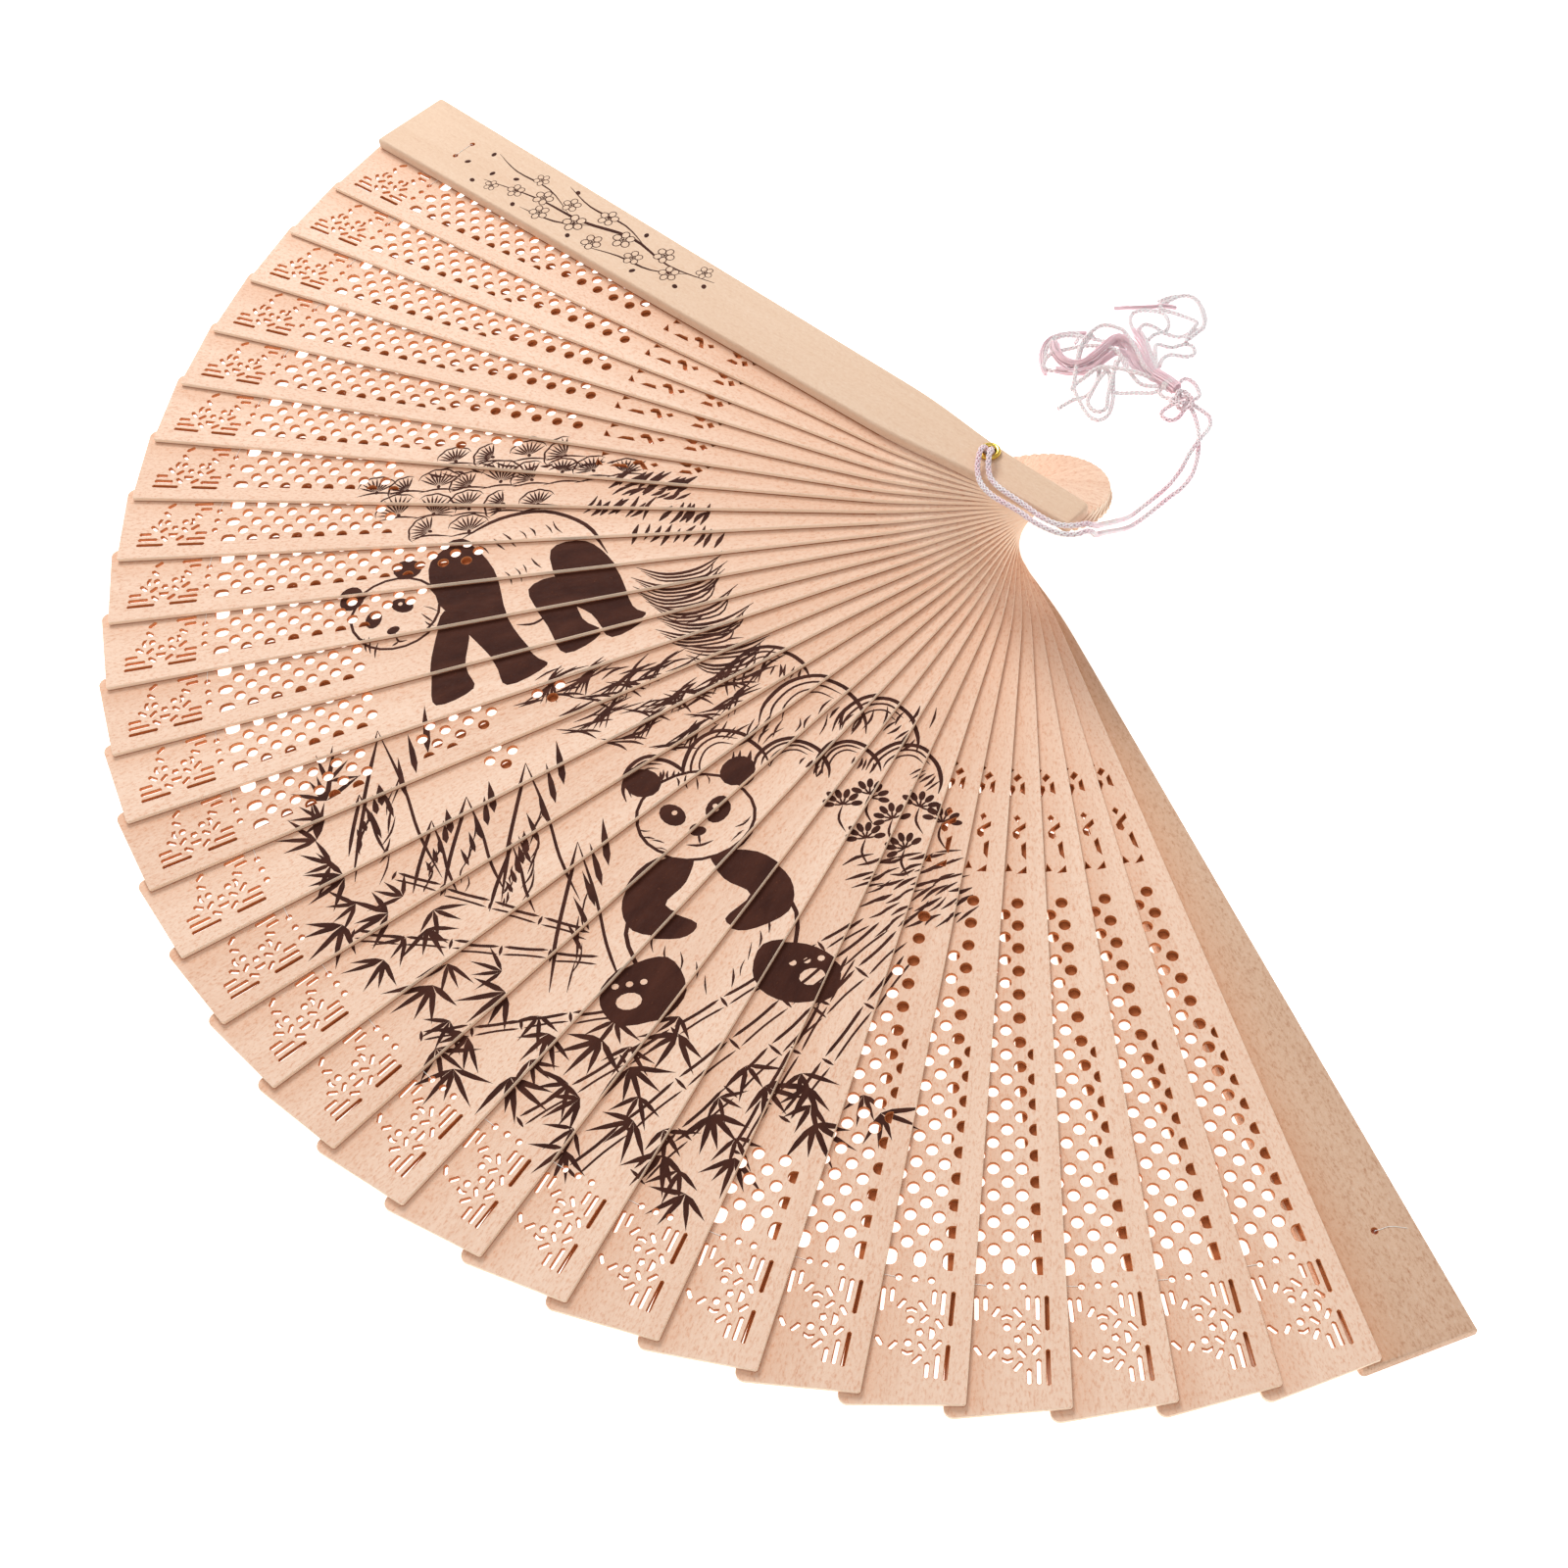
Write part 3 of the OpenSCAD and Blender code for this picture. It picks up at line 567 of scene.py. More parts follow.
class Picture:
    """The inked and bare shapes of the print, in drawing order, in picture millimetres."""

    def __init__(self):
        self.shapes = []
        self.draw = random.Random(7)

    def shape(self, outline, ink=True):
        if signed_area(outline) < 0:
            outline = outline[::-1]
        world = [turned(x, y, PICTURE_RIGHT) for x, y in outline]
        middle = centre_of(world)
        reach = max(math.dist(middle, p) for p in world)
        self.shapes.append((world, ink, middle, reach))

    def blob(self, points, ink=True, per_span=4):
        self.shape(smooth_line(points, True, per_span), ink)

    def oval(self, middle, wide, high, turn=0.0, ink=True, sides=14):
        rim = [polar((0, 0), 1, math.tau * n / sides) for n in range(sides)]
        self.shape(self.placed([(wide * x, high * y) for x, y in rim], middle, 1, turn), ink)

    def stroke(self, points, width, taper=0.35, ink=True, per_span=4):
        """A brush line through points that thins out towards both ends."""
        line = smooth_line(points, per_span=per_span) if len(points) > 2 else [
            tuple(points[0][n] + (points[1][n] - points[0][n]) * t / 3 for n in (0, 1)) for t in range(4)
        ]
        last = len(line) - 1
        left, right = [], []
        for i, p in enumerate(line):
            a, b = line[max(i - 1, 0)], line[min(i + 1, last)]
            long = math.dist(a, b) or 1
            t = i / last
            half = width / 2 * min(1.0, (min(t, 1 - t) / taper if taper else 1.0) * 0.85 + 0.15)
            n = (-(b[1] - a[1]) / long * half, (b[0] - a[0]) / long * half)
            left.append((p[0] + n[0], p[1] + n[1]))
            right.append((p[0] - n[0], p[1] - n[1]))
        self.shape(left + right[::-1], ink)

    def placed(self, points, at, size, turn):
        """Points of a drawing at their place, size and turn."""
        t = math.radians(turn)
        c, s = math.cos(t) * size, math.sin(t) * size
        return [(at[0] + x * c - y * s, at[1] + x * s + y * c) for x, y in points]

    def hatch(self, start, end, count, long, turn, width=0.5, spread=12):
        """A row of short brush marks."""
        for n in range(count):
            t = n / max(count - 1, 1)
            x = start[0] + (end[0] - start[0]) * t + self.draw.uniform(-0.5, 0.5)
            y = start[1] + (end[1] - start[1]) * t + self.draw.uniform(-0.5, 0.5)
            a = math.radians(turn + self.draw.uniform(-spread, spread))
            r = long * self.draw.uniform(0.7, 1.2) / 2
            bend = self.draw.uniform(-0.12, 0.12) * long
            middle = (x - bend * math.sin(a), y + bend * math.cos(a))
            self.stroke([polar((x, y), -r, a), middle, polar((x, y), r, a)],
                        width * self.draw.uniform(0.7, 1.2), 0.45, per_span=3)

    def needles(self, at, radius, turn):
        """A fan of pine needles with a rounded rim."""
        for n in range(9):
            a = math.radians(turn - 62 + 15.5 * n)
            self.stroke([polar(at, 0.12 * radius, a), polar(at, radius, a)], 0.42, 0.3)
        rim = [polar(at, radius * (1.03 + 0.05 * (n % 2)), math.radians(turn - 68 + 17 * n))
               for n in range(9)]
        self.stroke(rim, 0.42, 0.2, per_span=3)
        self.oval(at, 0.5, 0.4, turn)

    def leaf(self, root, long, turn, wide=1.0):
        sag = self.draw.uniform(-0.08, 0.08) * long
        side = [(0, 0), (0.25, 0.5), (0.55, 0.42), (1, 0), (0.55, -0.4), (0.25, -0.42)]
        bent = [(x * long, y * wide + sag * x * x) for x, y in side]
        self.shape(self.placed(bent, root, 1, turn))

    def leaves(self, at, size, turn, count=6):
        """A tuft of bamboo leaves that share one root."""
        for n in range(count):
            a = turn + (n - (count - 1) / 2) * 150 / count + self.draw.uniform(-10, 10)
            self.leaf(at, size * self.draw.uniform(0.75, 1.15), a, size * 0.15)

    def cane(self, start, end, width, joints):
        """A bamboo stalk: two edges, and a ring at each joint."""
        long = math.dist(start, end)
        ax, ay = (end[0] - start[0]) / long, (end[1] - start[1]) / long
        nx, ny = -ay * width / 2, ax * width / 2

        def at(far, out):
            return start[0] + ax * far + nx * out, start[1] + ay * far + ny * out

        for j in range(joints):
            f, t, r = ((j + part) / joints * long for part in (0.04, 0.94, 0.99))
            for side, thick in ((1, 0.42), (-1, 0.6)):
                self.stroke([at(f, side * 1.15), at((f + t) / 2, side * 0.9), at(t, side * 1.15)],
                            thick, 0.15, per_span=3)
            self.stroke([at(r, 1.5), at(r, -1.5)], 0.6, 0.2)

    def spire(self, foot, high, wide, lean=0.0):
        """A steep pointed rock, dark down one side."""
        x, y = foot

        def at(out, over, up):
            return x + out * wide + over * lean, y + up * high

        tip = at(0, 1, 1)
        self.stroke([at(-1, 0, 0), at(-0.75, 0.3, 0.35), at(-0.35, 0.7, 0.7), tip], 0.75, 0.25)
        self.stroke([at(1, 0, 0), at(0.62, 0.3, 0.3), at(0.4, 0.6, 0.62), tip], 0.6, 0.25)
        for n in range(5):
            t = 0.12 + 0.15 * n
            self.leaf(
                (x + 0.55 * wide * (1 - t) + lean * t, y + high * (0.95 - t * 0.95)),
                high * (0.34 - 0.03 * n), 100 + 4 * n, 1.5 - 0.15 * n,
            )
        self.hatch((x - 0.4 * wide, y + 0.1 * high), (x + 0.4 * lean, y + 0.6 * high), 6,
                   0.2 * high, 82, 0.5)

    def grass(self, at, size, turn, count=8):
        for n in range(count):
            a = math.radians(turn + (n - count / 2) * 11 + self.draw.uniform(-5, 5))
            r = size * self.draw.uniform(0.7, 1.2)
            root = (at[0] + (n - count / 2) * size * 0.13, at[1] + self.draw.uniform(-0.6, 0.6))
            bend = 0.2 * r * (1 if n > count / 2 else -1)
            tip = polar(root, r, a)
            self.stroke([root, polar(root, 0.55 * r, a),
                         (tip[0] + bend * 0.8, tip[1] - abs(bend) * 0.5)], 0.62, 0.4)

    def boulder(self, at, wide, high, turn=0):
        """A rounded rock: a doubled outline and shading marks under it."""
        edge = [(-1, -0.5), (-0.92, 0.1), (-0.5, 0.75), (0.1, 0.95), (0.65, 0.6), (0.95, 0), (1, -0.5)]
        for scale, thick in ((1.0, 0.85), (0.8, 0.5), (0.58, 0.4)):
            points = [(x * wide * scale, y * high * scale) for x, y in edge[: 7 if scale == 1 else 5]]
            self.stroke(self.placed(points, at, 1, turn), thick, 0.2)
        start, end = self.placed([(0.25 * wide, 0.1 * high), (0.8 * wide, -0.3 * high)], at, 1, turn)
        self.hatch(start, end, 5, 0.5 * high, 60 + turn, 0.6)

    def drawer(self, at, size, turn):
        """For one drawing: what places its points, and what dabs an oval on it."""
        def put(points):
            return self.placed(points, at, size, turn)

        def dot(x, y, wide, high, lean=0.0, ink=True, sides=14):
            self.oval(put([(x, y)])[0], wide * size, high * size, turn + lean, ink, sides)

        return put, dot

    def bear_walking(self, at, size, turn):
        """A black and white bear that walks to the left."""
        put, dot = self.drawer(at, size, turn)
        self.blob(put([(-0.5, 0.3), (-0.2, 0.44), (0.15, 0.45), (0.42, 0.3), (0.48, 0.0),
                       (0.3, -0.22), (-0.1, -0.26), (-0.45, -0.1)]), False)
        self.blob(put([(0.26, 0.16), (0.44, 0.12), (0.5, -0.1), (0.47, -0.36), (0.5, -0.45),
                       (0.3, -0.47), (0.27, -0.3), (0.2, -0.12)]))
        self.blob(put([(0.06, 0.0), (0.24, -0.02), (0.22, -0.3), (0.26, -0.42), (0.06, -0.44),
                       (0.05, -0.25)]))
        self.blob(put([(-0.3, 0.42), (-0.1, 0.46), (-0.04, 0.2), (-0.1, -0.1), (-0.08, -0.36),
                       (-0.05, -0.46), (-0.27, -0.47), (-0.27, -0.3), (-0.33, 0.0), (-0.37, 0.2)]))
        self.blob(put([(-0.36, 0.1), (-0.3, -0.06), (-0.4, -0.26), (-0.42, -0.4), (-0.62, -0.4),
                       (-0.58, -0.24), (-0.5, -0.08)]))
        self.stroke(put([(-0.1, 0.46), (0.12, 0.48), (0.34, 0.4), (0.48, 0.2), (0.5, -0.02)]), 0.9, 0.2)
        self.stroke(put([(-0.08, -0.16), (0.0, -0.2), (0.1, -0.18)]), 0.6)
        dot(-0.58, 0.22, 0.235, 0.215, sides=22)
        dot(-0.58, 0.22, 0.22, 0.2, ink=False, sides=22)
        dot(-0.74, 0.42, 0.07, 0.06, 40)
        dot(-0.42, 0.44, 0.075, 0.065, -30)
        dot(-0.69, 0.24, 0.042, 0.06, -35)
        dot(-0.53, 0.25, 0.045, 0.062, 35)
        dot(-0.63, 0.12, 0.034, 0.024)
        for x, y in ((-0.685, 0.255), (-0.535, 0.265)):
            dot(x, y, 0.012, 0.012, -turn, False, 8)
        self.stroke(put([(-0.63, 0.1), (-0.63, 0.06), (-0.59, 0.045)]), 0.5)
        self.stroke(put([(-0.63, 0.06), (-0.67, 0.05)]), 0.5)
        marks = [((-0.02, 0.36), (0.36, 0.26), 7, 100), ((0.0, 0.1), (0.16, 0.12), 4, 95),
                 ((-0.78, 0.12), (-0.74, 0.06), 3, 60), ((-0.42, 0.14), (-0.46, 0.06), 3, 120)]
        for start, end, count, lean in marks:
            a, b = put([start, end])
            self.hatch(a, b, count, 0.09 * size, lean + turn, 0.42)

    def bear_sitting(self, at, size, turn):
        """A black and white bear that sits facing forwards."""
        put, dot = self.drawer(at, size, turn)
        self.blob(put([(0.0, 0.2), (0.26, 0.1), (0.36, -0.15), (0.28, -0.42), (0, -0.5),
                       (-0.28, -0.42), (-0.36, -0.15), (-0.26, 0.1)]), False)
        self.stroke(put([(-0.26, 0.08), (-0.36, -0.15), (-0.3, -0.38)]), 0.8, 0.2)
        self.stroke(put([(0.26, 0.08), (0.36, -0.15), (0.3, -0.38)]), 0.8, 0.2)
        for side in (-1, 1):
            self.blob(put([(side * x, y) for x, y in (
                (0.04, 0.2), (0.24, 0.17), (0.36, 0.02), (0.33, -0.14), (0.14, -0.2),
                (0.06, -0.14), (0.18, -0.04), (0.08, 0.06),
            )]))
            self.blob(put([(side * x, y) for x, y in (
                (0.2, -0.28), (0.38, -0.3), (0.5, -0.42), (0.44, -0.56), (0.26, -0.56),
                (0.14, -0.44),
            )]))
            dot(side * 0.38, -0.46, 0.055, 0.04, ink=False, sides=12)
            for toe in range(3):
                dot(side * (0.31 + 0.06 * toe), -0.38, 0.016, 0.014, ink=False, sides=8)
        dot(0, 0.38, 0.265, 0.225, sides=24)
        dot(0, 0.38, 0.25, 0.21, ink=False, sides=24)
        for side in (-1, 1):
            dot(side * 0.21, 0.58, 0.085, 0.075, side * 40)
            dot(side * 0.1, 0.4, 0.05, 0.068, -side * 38)
            dot(side * 0.09, 0.41, 0.013, 0.013, -turn, False, 8)
            a, b = put([(side * 0.22, 0.34), (side * 0.17, 0.24)])
            self.hatch(a, b, 4, 0.06 * size, turn + side * 30, 0.4)
            a, b = put([(side * 0.05, -0.42), (side * 0.24, -0.2)])
            self.hatch(a, b, 5, 0.08 * size, turn + 80, 0.42)
        dot(0, 0.31, 0.036, 0.025)
        self.stroke(put([(-0.06, 0.25), (0, 0.235), (0.06, 0.25)]), 0.55)
        self.stroke(put([(0, 0.3), (0, 0.24)]), 0.5)
        a, b = put([(-0.07, 0.55), (0.07, 0.55)])
        self.hatch(a, b, 4, 0.06 * size, turn + 90, 0.4)

    def blossom(self, at, size, turn):
        for n in range(5):
            a = math.radians(turn + 72 * n)
            p = polar(at, size * 0.62, a)
            self.oval(p, size * 0.44, size * 0.4, turn + 72 * n, True, 12)
            self.oval(p, size * 0.34, size * 0.3, turn + 72 * n, False, 12)
        for n in range(6):
            self.stroke([at, polar(at, size * 0.4, math.radians(turn + 60 * n + 20))], 0.16, 0.2)
        self.oval(at, size * 0.13, size * 0.13)

    def near(self, index):
        """The shapes that may touch a stick."""
        along = Vector(polar((0, 0), 1, stick_direction(index)))
        found = []
        for world, ink, centre, reach in self.shapes:
            off = Vector(centre)
            across = abs(off.x * along.y - off.y * along.x)
            ahead = off.dot(along)
            if across < reach + 12 and -reach < ahead - 10 and ahead < 185 + reach:
                found.append((world, ink))
        return found


def printed_picture():
    """Pines, rocks, canes and two bears over the blades, and a blossom twig on the guard."""
    p = Picture()
    turn = 0
    for start, end, high, step in ((-108, -79, 15.5, 7.6), (-124, -72, 9.4, 6.4),
                                   (-119, -84, 3.2, 7.2), (-112, -96, -2.4, 8.0)):
        x = start
        while x < end:
            turn += 47
            p.needles((x, high + p.draw.uniform(-0.8, 0.8)), p.draw.uniform(3.6, 4.8),
                      60 + turn % 100)
            p.stroke([(x - 4, high - 1.6), (x, high - 0.8), (x + 4.5, high - 1.4)], 0.5)
            x += step
    for start, end, count, long, lean, width in (
        ((-74, 8), (-60, 4.5), 9, 5.5, 38, 1.3), ((-73, 5), (-61, 2.5), 8, 4, 32, 1.1),
        ((-80, 1.5), (-68, 0), 8, 5, 52, 1.0), ((-64, -1.5), (-56, -3), 6, 5, 55, 1.1),
        ((-70, -5.5), (-62, -7), 5, 4.5, 62, 0.9), ((-59, -7), (-54, -8.5), 4, 4.5, 60, 1.0),
        ((-112, 12.5), (-96, 13), 7, 3.5, 160, 0.7), ((-92, 12), (-70, 11.5), 9, 3.2, 20, 0.8),
    ):
        p.hatch(start, end, count, long, lean, width)
    p.bear_walking((-93.3, -18.6), 39, 28)
    for x, y, long, bend in ((-70, -13.5, 17, 2.2), (-71, -16, 19, 2.8), (-70.5, -18.4, 18, 3.2),
                             (-68, -21.5, 18, 3), (-66, -25, 19, 2.4), (-66, -28, 17, 2),
                             (-62, -31, 18, 1.6), (-60, -34, 15, 2.2)):
        for n in range(3):
            off = 0.9 * n
            p.stroke([(x + off, y - off), (x + 0.35 * long, y - bend - off),
                      (x + 0.7 * long + off, y - 0.6 * bend - off),
                      (x + long - off, y + bend - off)], 0.75 - 0.12 * n)
    for x, y, size, lean in ((-83, -42, 9, 48), (-76, -43, 10, 40), (-70, -40, 9, 30),
                             (-88, -44, 8, 62), (-66, -46, 10, 36), (-59, -42, 9, 26),
                             (-79, -50, 9, 44), (-71, -52, 8, 36), (-55, -47, 9, 40),
                             (-62, -54, 8, 48), (-50, -40, 8, 34)):
        p.grass((x, y), size, lean, 9)
    for start, end, count, long, lean in (
        ((-86, -38), (-60, -36), 13, 7, 28), ((-82, -46), (-58, -44), 12, 7, 26),
        ((-60, -25), (-48, -33), 8, 5, 20), ((-55, -50), (-44, -52), 7, 5, 50),
    ):
        p.hatch(start, end, count, long, lean, 0.6)
    for x, y, high, wide, lean in (
        (-111, -81, 32, 8.0, -7), (-97, -84, 20, 5.5, -3), (-85, -86, 29, 7.0, -4.5),
        (-76, -104, 30, 6.5, -3), (-104, -84, 15, 4.0, -2), (-90, -88, 14, 4.0, -1),
        (-117, -76, 13, 3.5, -3),
    ):
        p.spire((x, y), high, wide, lean)
    for x, y, wide, high, lean in (
        (-45, -38, 8, 6, 14), (-36, -46, 10, 8, -4), (-24, -49, 8, 7, -14), (-53, -57, 8, 7, 18),
        (-40, -57, 7, 5, -8), (-19, -58, 7, 6, -20), (-30, -57, 6, 5, 6), (-66, -61, 6, 5, 24),
    ):
        p.boulder((x, y), wide, high, lean)
    p.bear_sitting((-55.5, -84.5), 42, 8)
    for start, end, width, joints in (
        ((-24, -91), (-77, -137), 2.0, 6), ((-21, -93), (-66, -138), 2.2, 6),
        ((-27, -90), (-86, -128), 1.6, 7), ((-20, -97), (-42, -128), 1.6, 3),
        ((-76, -93), (-112, -80), 1.3, 4), ((-74, -98), (-118, -92), 1.4, 5),
        ((-70, -108), (-104, -112), 1.4, 4), ((-30, -97), (-50, -134), 1.3, 4),
    ):
        p.cane(start, end, width, joints)
    for x, y, turn in (
        (-127, -72, 140), (-121, -80, 200), (-126, -64, 110), (-120, -90, 230), (-112, -88, 190),
        (-112, -97, 240), (-105, -91, 300), (-103, -102, 255), (-96, -112, 235), (-98, -118, 265),
        (-88, -120, 285), (-82, -112, 250), (-73, -113, 230), (-68, -118, 290), (-78, -133, 240),
        (-76, -124, 200), (-62, -134, 262), (-67, -128, 220), (-54, -127, 285), (-50, -135, 255),
        (-45, -122, 300), (-38, -122, 250), (-37, -129, 290), (-58, -141, 235), (-26, -127, 300),
        (-90, -104, 215), (-60, -112, 250),
    ):
        p.leaves((x, y), p.draw.uniform(6.6, 8.4), turn, 5)
        p.leaves((x + p.draw.uniform(-3.5, 3.5), y + p.draw.uniform(2.5, 4.5)),
                 p.draw.uniform(5.5, 7), turn + p.draw.uniform(-50, 50), 4)
    for x, y, turn in ((-31, -66, 90), (-26, -64, 70), (-22, -69, 110), (-17, -66, 60),
                       (-27, -73, 95), (-13, -69, 80), (-20, -75, 120)):
        for n in range(6):
            lean = turn + 34 * (n - 2.5)
            p.oval(polar((x, y), 2.6, math.radians(lean)), 1.1, 0.62, lean)
            p.stroke([(x, y), polar((x, y), 2.0, math.radians(lean))], 0.4, 0.2)
        p.stroke([(x, y), (x - 0.8, y - 3), (x + 0.4, y - 6)], 0.5)
    for n in range(6):
        y = -78 - 2.6 * n
        p.hatch((-29 + n, y), (-12 + 0.5 * n, y + 2.5), 8, 5.2, 12 + 5 * n, 0.75)
    p.hatch((-48, -50), (-14, -46), 13, 4.5, 66, 0.6)
    guard_twig(p)
    return p


def guard_twig(p):
    """A blossom twig along the front guard, drawn about the guard's own line."""
    def along(x, y):
        return turned(x, y + PIVOT_OFF, stick_direction(LAST) - PICTURE_RIGHT)

    def twig(points, width):
        p.stroke([along(*q) for q in points], width, 0.5)

    twig([(78, -3.4), (90, -1.2), (103, -2.6), (116, 0.4), (130, 1.2), (145, 4.2)], 0.95)
    twig([(84, -2.2), (92, 2.2), (101, 3.4), (110, 6.0)], 0.6)
    twig([(98, -2.2), (107, -4.6), (118, -4.2), (127, -6.2)], 0.6)
    twig([(113, 0.0), (121, 4.2), (131, 5.6)], 0.55)
    twig([(120, 0.6), (130, -2.6), (141, -2.4), (149, -4.2)], 0.5)
    for x, y, size, turn in (
        (88, 0.6, 2.3, 10), (93, -3.0, 2.4, 40), (98, 1.8, 2.2, 70), (104, -1.0, 2.6, 0),
        (109, 3.8, 2.4, 30), (112, -4.0, 2.4, 55), (117, 1.8, 2.7, 15), (122, -2.0, 2.2, 65),
        (126, 4.2, 2.3, 20), (129, 0.2, 2.4, 50), (136, 2.4, 2.1, 5), (134, -3.8, 1.9, 35),
        (142, 4.6, 1.7, 60), (82, -4.4, 1.9, 25),
    ):
        p.blossom(along(x, y), size, turn)
    for x, y in ((79, -1.2), (84, 2.6), (95, 4.8), (115, 5.6), (124, -5.8), (133, 6.0),
                 (139, -0.4), (145, 1.6), (147, 6.0), (150, -3.2), (153, 2.2), (101, -5.2)):
        p.oval(along(x, y), 0.75, 0.55, 40 * x)


# ---- Sticks ----


def cap_loops(node):
    """Closed outlines of a stick's upper face in millimetres, wood on their left."""
    shell = bmesh.new()
    shell.from_mesh(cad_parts[node].data)
    bmesh.ops.remove_doubles(shell, verts=shell.verts, dist=0.001 * MM)
    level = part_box(node)[1].z
    cap = {f for f in shell.faces if all(abs(v.co.z - level) < 0.002 * MM for v in f.verts)}
    following = {}
    for face in cap:
        for corner in face.loops:
            if not any(other in cap for other in corner.edge.link_faces if other is not face):
                following[corner.vert.index] = corner.link_loop_next.vert.index
    shell.verts.ensure_lookup_table()
    loops = []
    while following:
        first = next(iter(following))
        loop = [first]
        here = following.pop(first)
        while here != first:
            loop.append(here)
            here = following.pop(here)
        loops.append([(shell.verts[v].co.x / MM, shell.verts[v].co.y / MM) for v in loop])
    shell.free()
    loops.sort(key=lambda loop: -abs(signed_area(loop)))
    return loops


def signed_area(loop):
    return 0.5 * sum(
        a[0] * b[1] - b[0] * a[1] for a, b in zip(loop, [*loop[1:], loop[0]])
    )


def inset(loop, distance):
    """An outline moved to its left, into the wood."""
    out = []
    count = len(loop)
    for i, here in enumerate(loop):
        before, after = loop[i - 1], loop[(i + 1) % count]
        a = Vector((here[0] - before[0], here[1] - before[1])).normalized()
        b = Vector((after[0] - here[0], after[1] - here[1])).normalized()
        bisector = Vector((-(a.y + b.y), a.x + b.x))
        bisector.normalize()
        reach = distance / max(0.5, bisector.x * -a.y + bisector.y * a.x)
        out.append((here[0] + bisector.x * reach, here[1] + bisector.y * reach))
    return out


def triangulated(rings, shapes, cover):
    """Points of a face with holes, and each triangle's corners and topmost shape, if any shows."""
    points, faces = [], []
    for ring in [*rings, *shapes, *([cover] if cover else [])]:
        order = ring if signed_area(ring) > 0 else ring[::-1]
        faces.append(list(range(len(points), len(points) + len(order))))
        points.extend(Vector(p) for p in order)
    verts, _, tris, _, _, owners = delaunay_2d_cdt(points, [], faces, 1, 0.00001, True)
    holes = set(range(1, len(rings)))
    first, last = len(rings), len(rings) + len(shapes)
    out = []
    for corners, owned in zip(tris, owners):
        owned = set(owned)
        if 0 not in owned or owned & holes:
            continue
        marks = [o for o in owned if first <= o < last]
        out.append((tuple(corners), None if last in owned or not marks else max(marks) - first))
    return verts, out


def nearest_on(rings, point):
    """Ring number, corner number and fraction where a point lies on the rings."""
    best = (1e9, 0, 0, 0.0)
    for r, ring in enumerate(rings):
        for i, a in enumerate(ring):
            b = ring[(i + 1) % len(ring)]
            dx, dy = b[0] - a[0], b[1] - a[1]
            long = dx * dx + dy * dy
            t = 0.0 if long == 0 else ((point[0] - a[0]) * dx + (point[1] - a[1]) * dy) / long
            t = min(1.0, max(0.0, t))
            gap = math.hypot(a[0] + t * dx - point[0], a[1] + t * dy - point[1])
            if gap < best[0]:
                best = (gap, r, i, t)
    return best[1:]


def stick_profiles(index, loops, low, high, sizes):
    """For each outline, how far it is set in at which heights, from the upper face down."""
    ease = sizes.edge_ease / MM
    thin = [(ease, high), (0, high - ease), (0, low + ease), (ease, low)]
    outer = thin
    if index in (0, LAST):
        round_in, round_down = sizes.guard_round / MM, 1.6 * sizes.guard_round / MM
        outer = [
            (round_in * (1 - math.sin(a)), high - round_down * (1 - math.cos(a)))
            for a in (math.radians(90 * s / 5) for s in range(6))
        ]
        outer += [(0, low + 2 * ease), (2 * ease, low)]
    profiles = [outer] + [thin] * (len(loops) - 1)
    if index == 0:
        bore = min(range(1, len(loops)), key=lambda r: math.hypot(*centre_of(loops[r])))
        recess = [(0, low + RECESS_DEPTH), (RECESS_SET_IN, low + RECESS_DEPTH), (RECESS_SET_IN, low)]
        profiles[bore] = thin[:2] + recess
    return profiles


def border_loops(tris):
    """Closed runs of the edges that only one triangle has."""
    following = {}
    for corners, _ in tris:
        for a, b in zip(corners, corners[1:] + corners[:1]):
            if following.get(b, {}).get(a):
                del following[b][a]
            else:
                following.setdefault(a, {})[b] = True
    following = {a: list(b) for a, b in following.items() if b}
    loops = []
    while following:
        first = here = next(iter(following))
        loop = []
        while here in following and (here != first or not loop):
            loop.append(here)
            onward = following[here].pop()
            if not following[here]:
                del following[here]
            here = onward
        loops.append(loop)
    return loops


def add_walls(build, upper, places, outline, profile, slot):
    """Walls from an upper edge down a profile; returns the lowest edge."""
    for distance, level in profile[1:]:
        moved = inset(outline, distance)
        lower = []
        for _, i, t in places:
            a, b = moved[i % len(moved)], moved[(i + 1) % len(moved)]
            lower.append(build.verts.new(
                (a[0] + (b[0] - a[0]) * t, a[1] + (b[1] - a[1]) * t, level)
            ))
        for i in range(len(upper)):
            j = (i + 1) % len(upper)
            build.faces.new((upper[j], upper[i], lower[i], lower[j])).material_index = slot
        upper = lower
    return upper


def add_underside(build, edges):
    """Closes a stick's lower face between its lowest edges, the outer one first."""
    known = {(round(v.co.x, 4), round(v.co.y, 4)): v for edge in edges for v in edge}
    verts, tris = triangulated([[(v.co.x, v.co.y) for v in edge] for edge in edges], [], None)
    for corners, _ in tris:
        below = []
        for v in reversed(corners):
            key = (round(verts[v].x, 4), round(verts[v].y, 4))
            if key not in known:
                known[key] = min(known.values(), key=lambda k: (k.co.xy - verts[v]).length)
            below.append(known[key])
        if len(set(below)) == 3:
            build.faces.new(below).material_index = WOOD


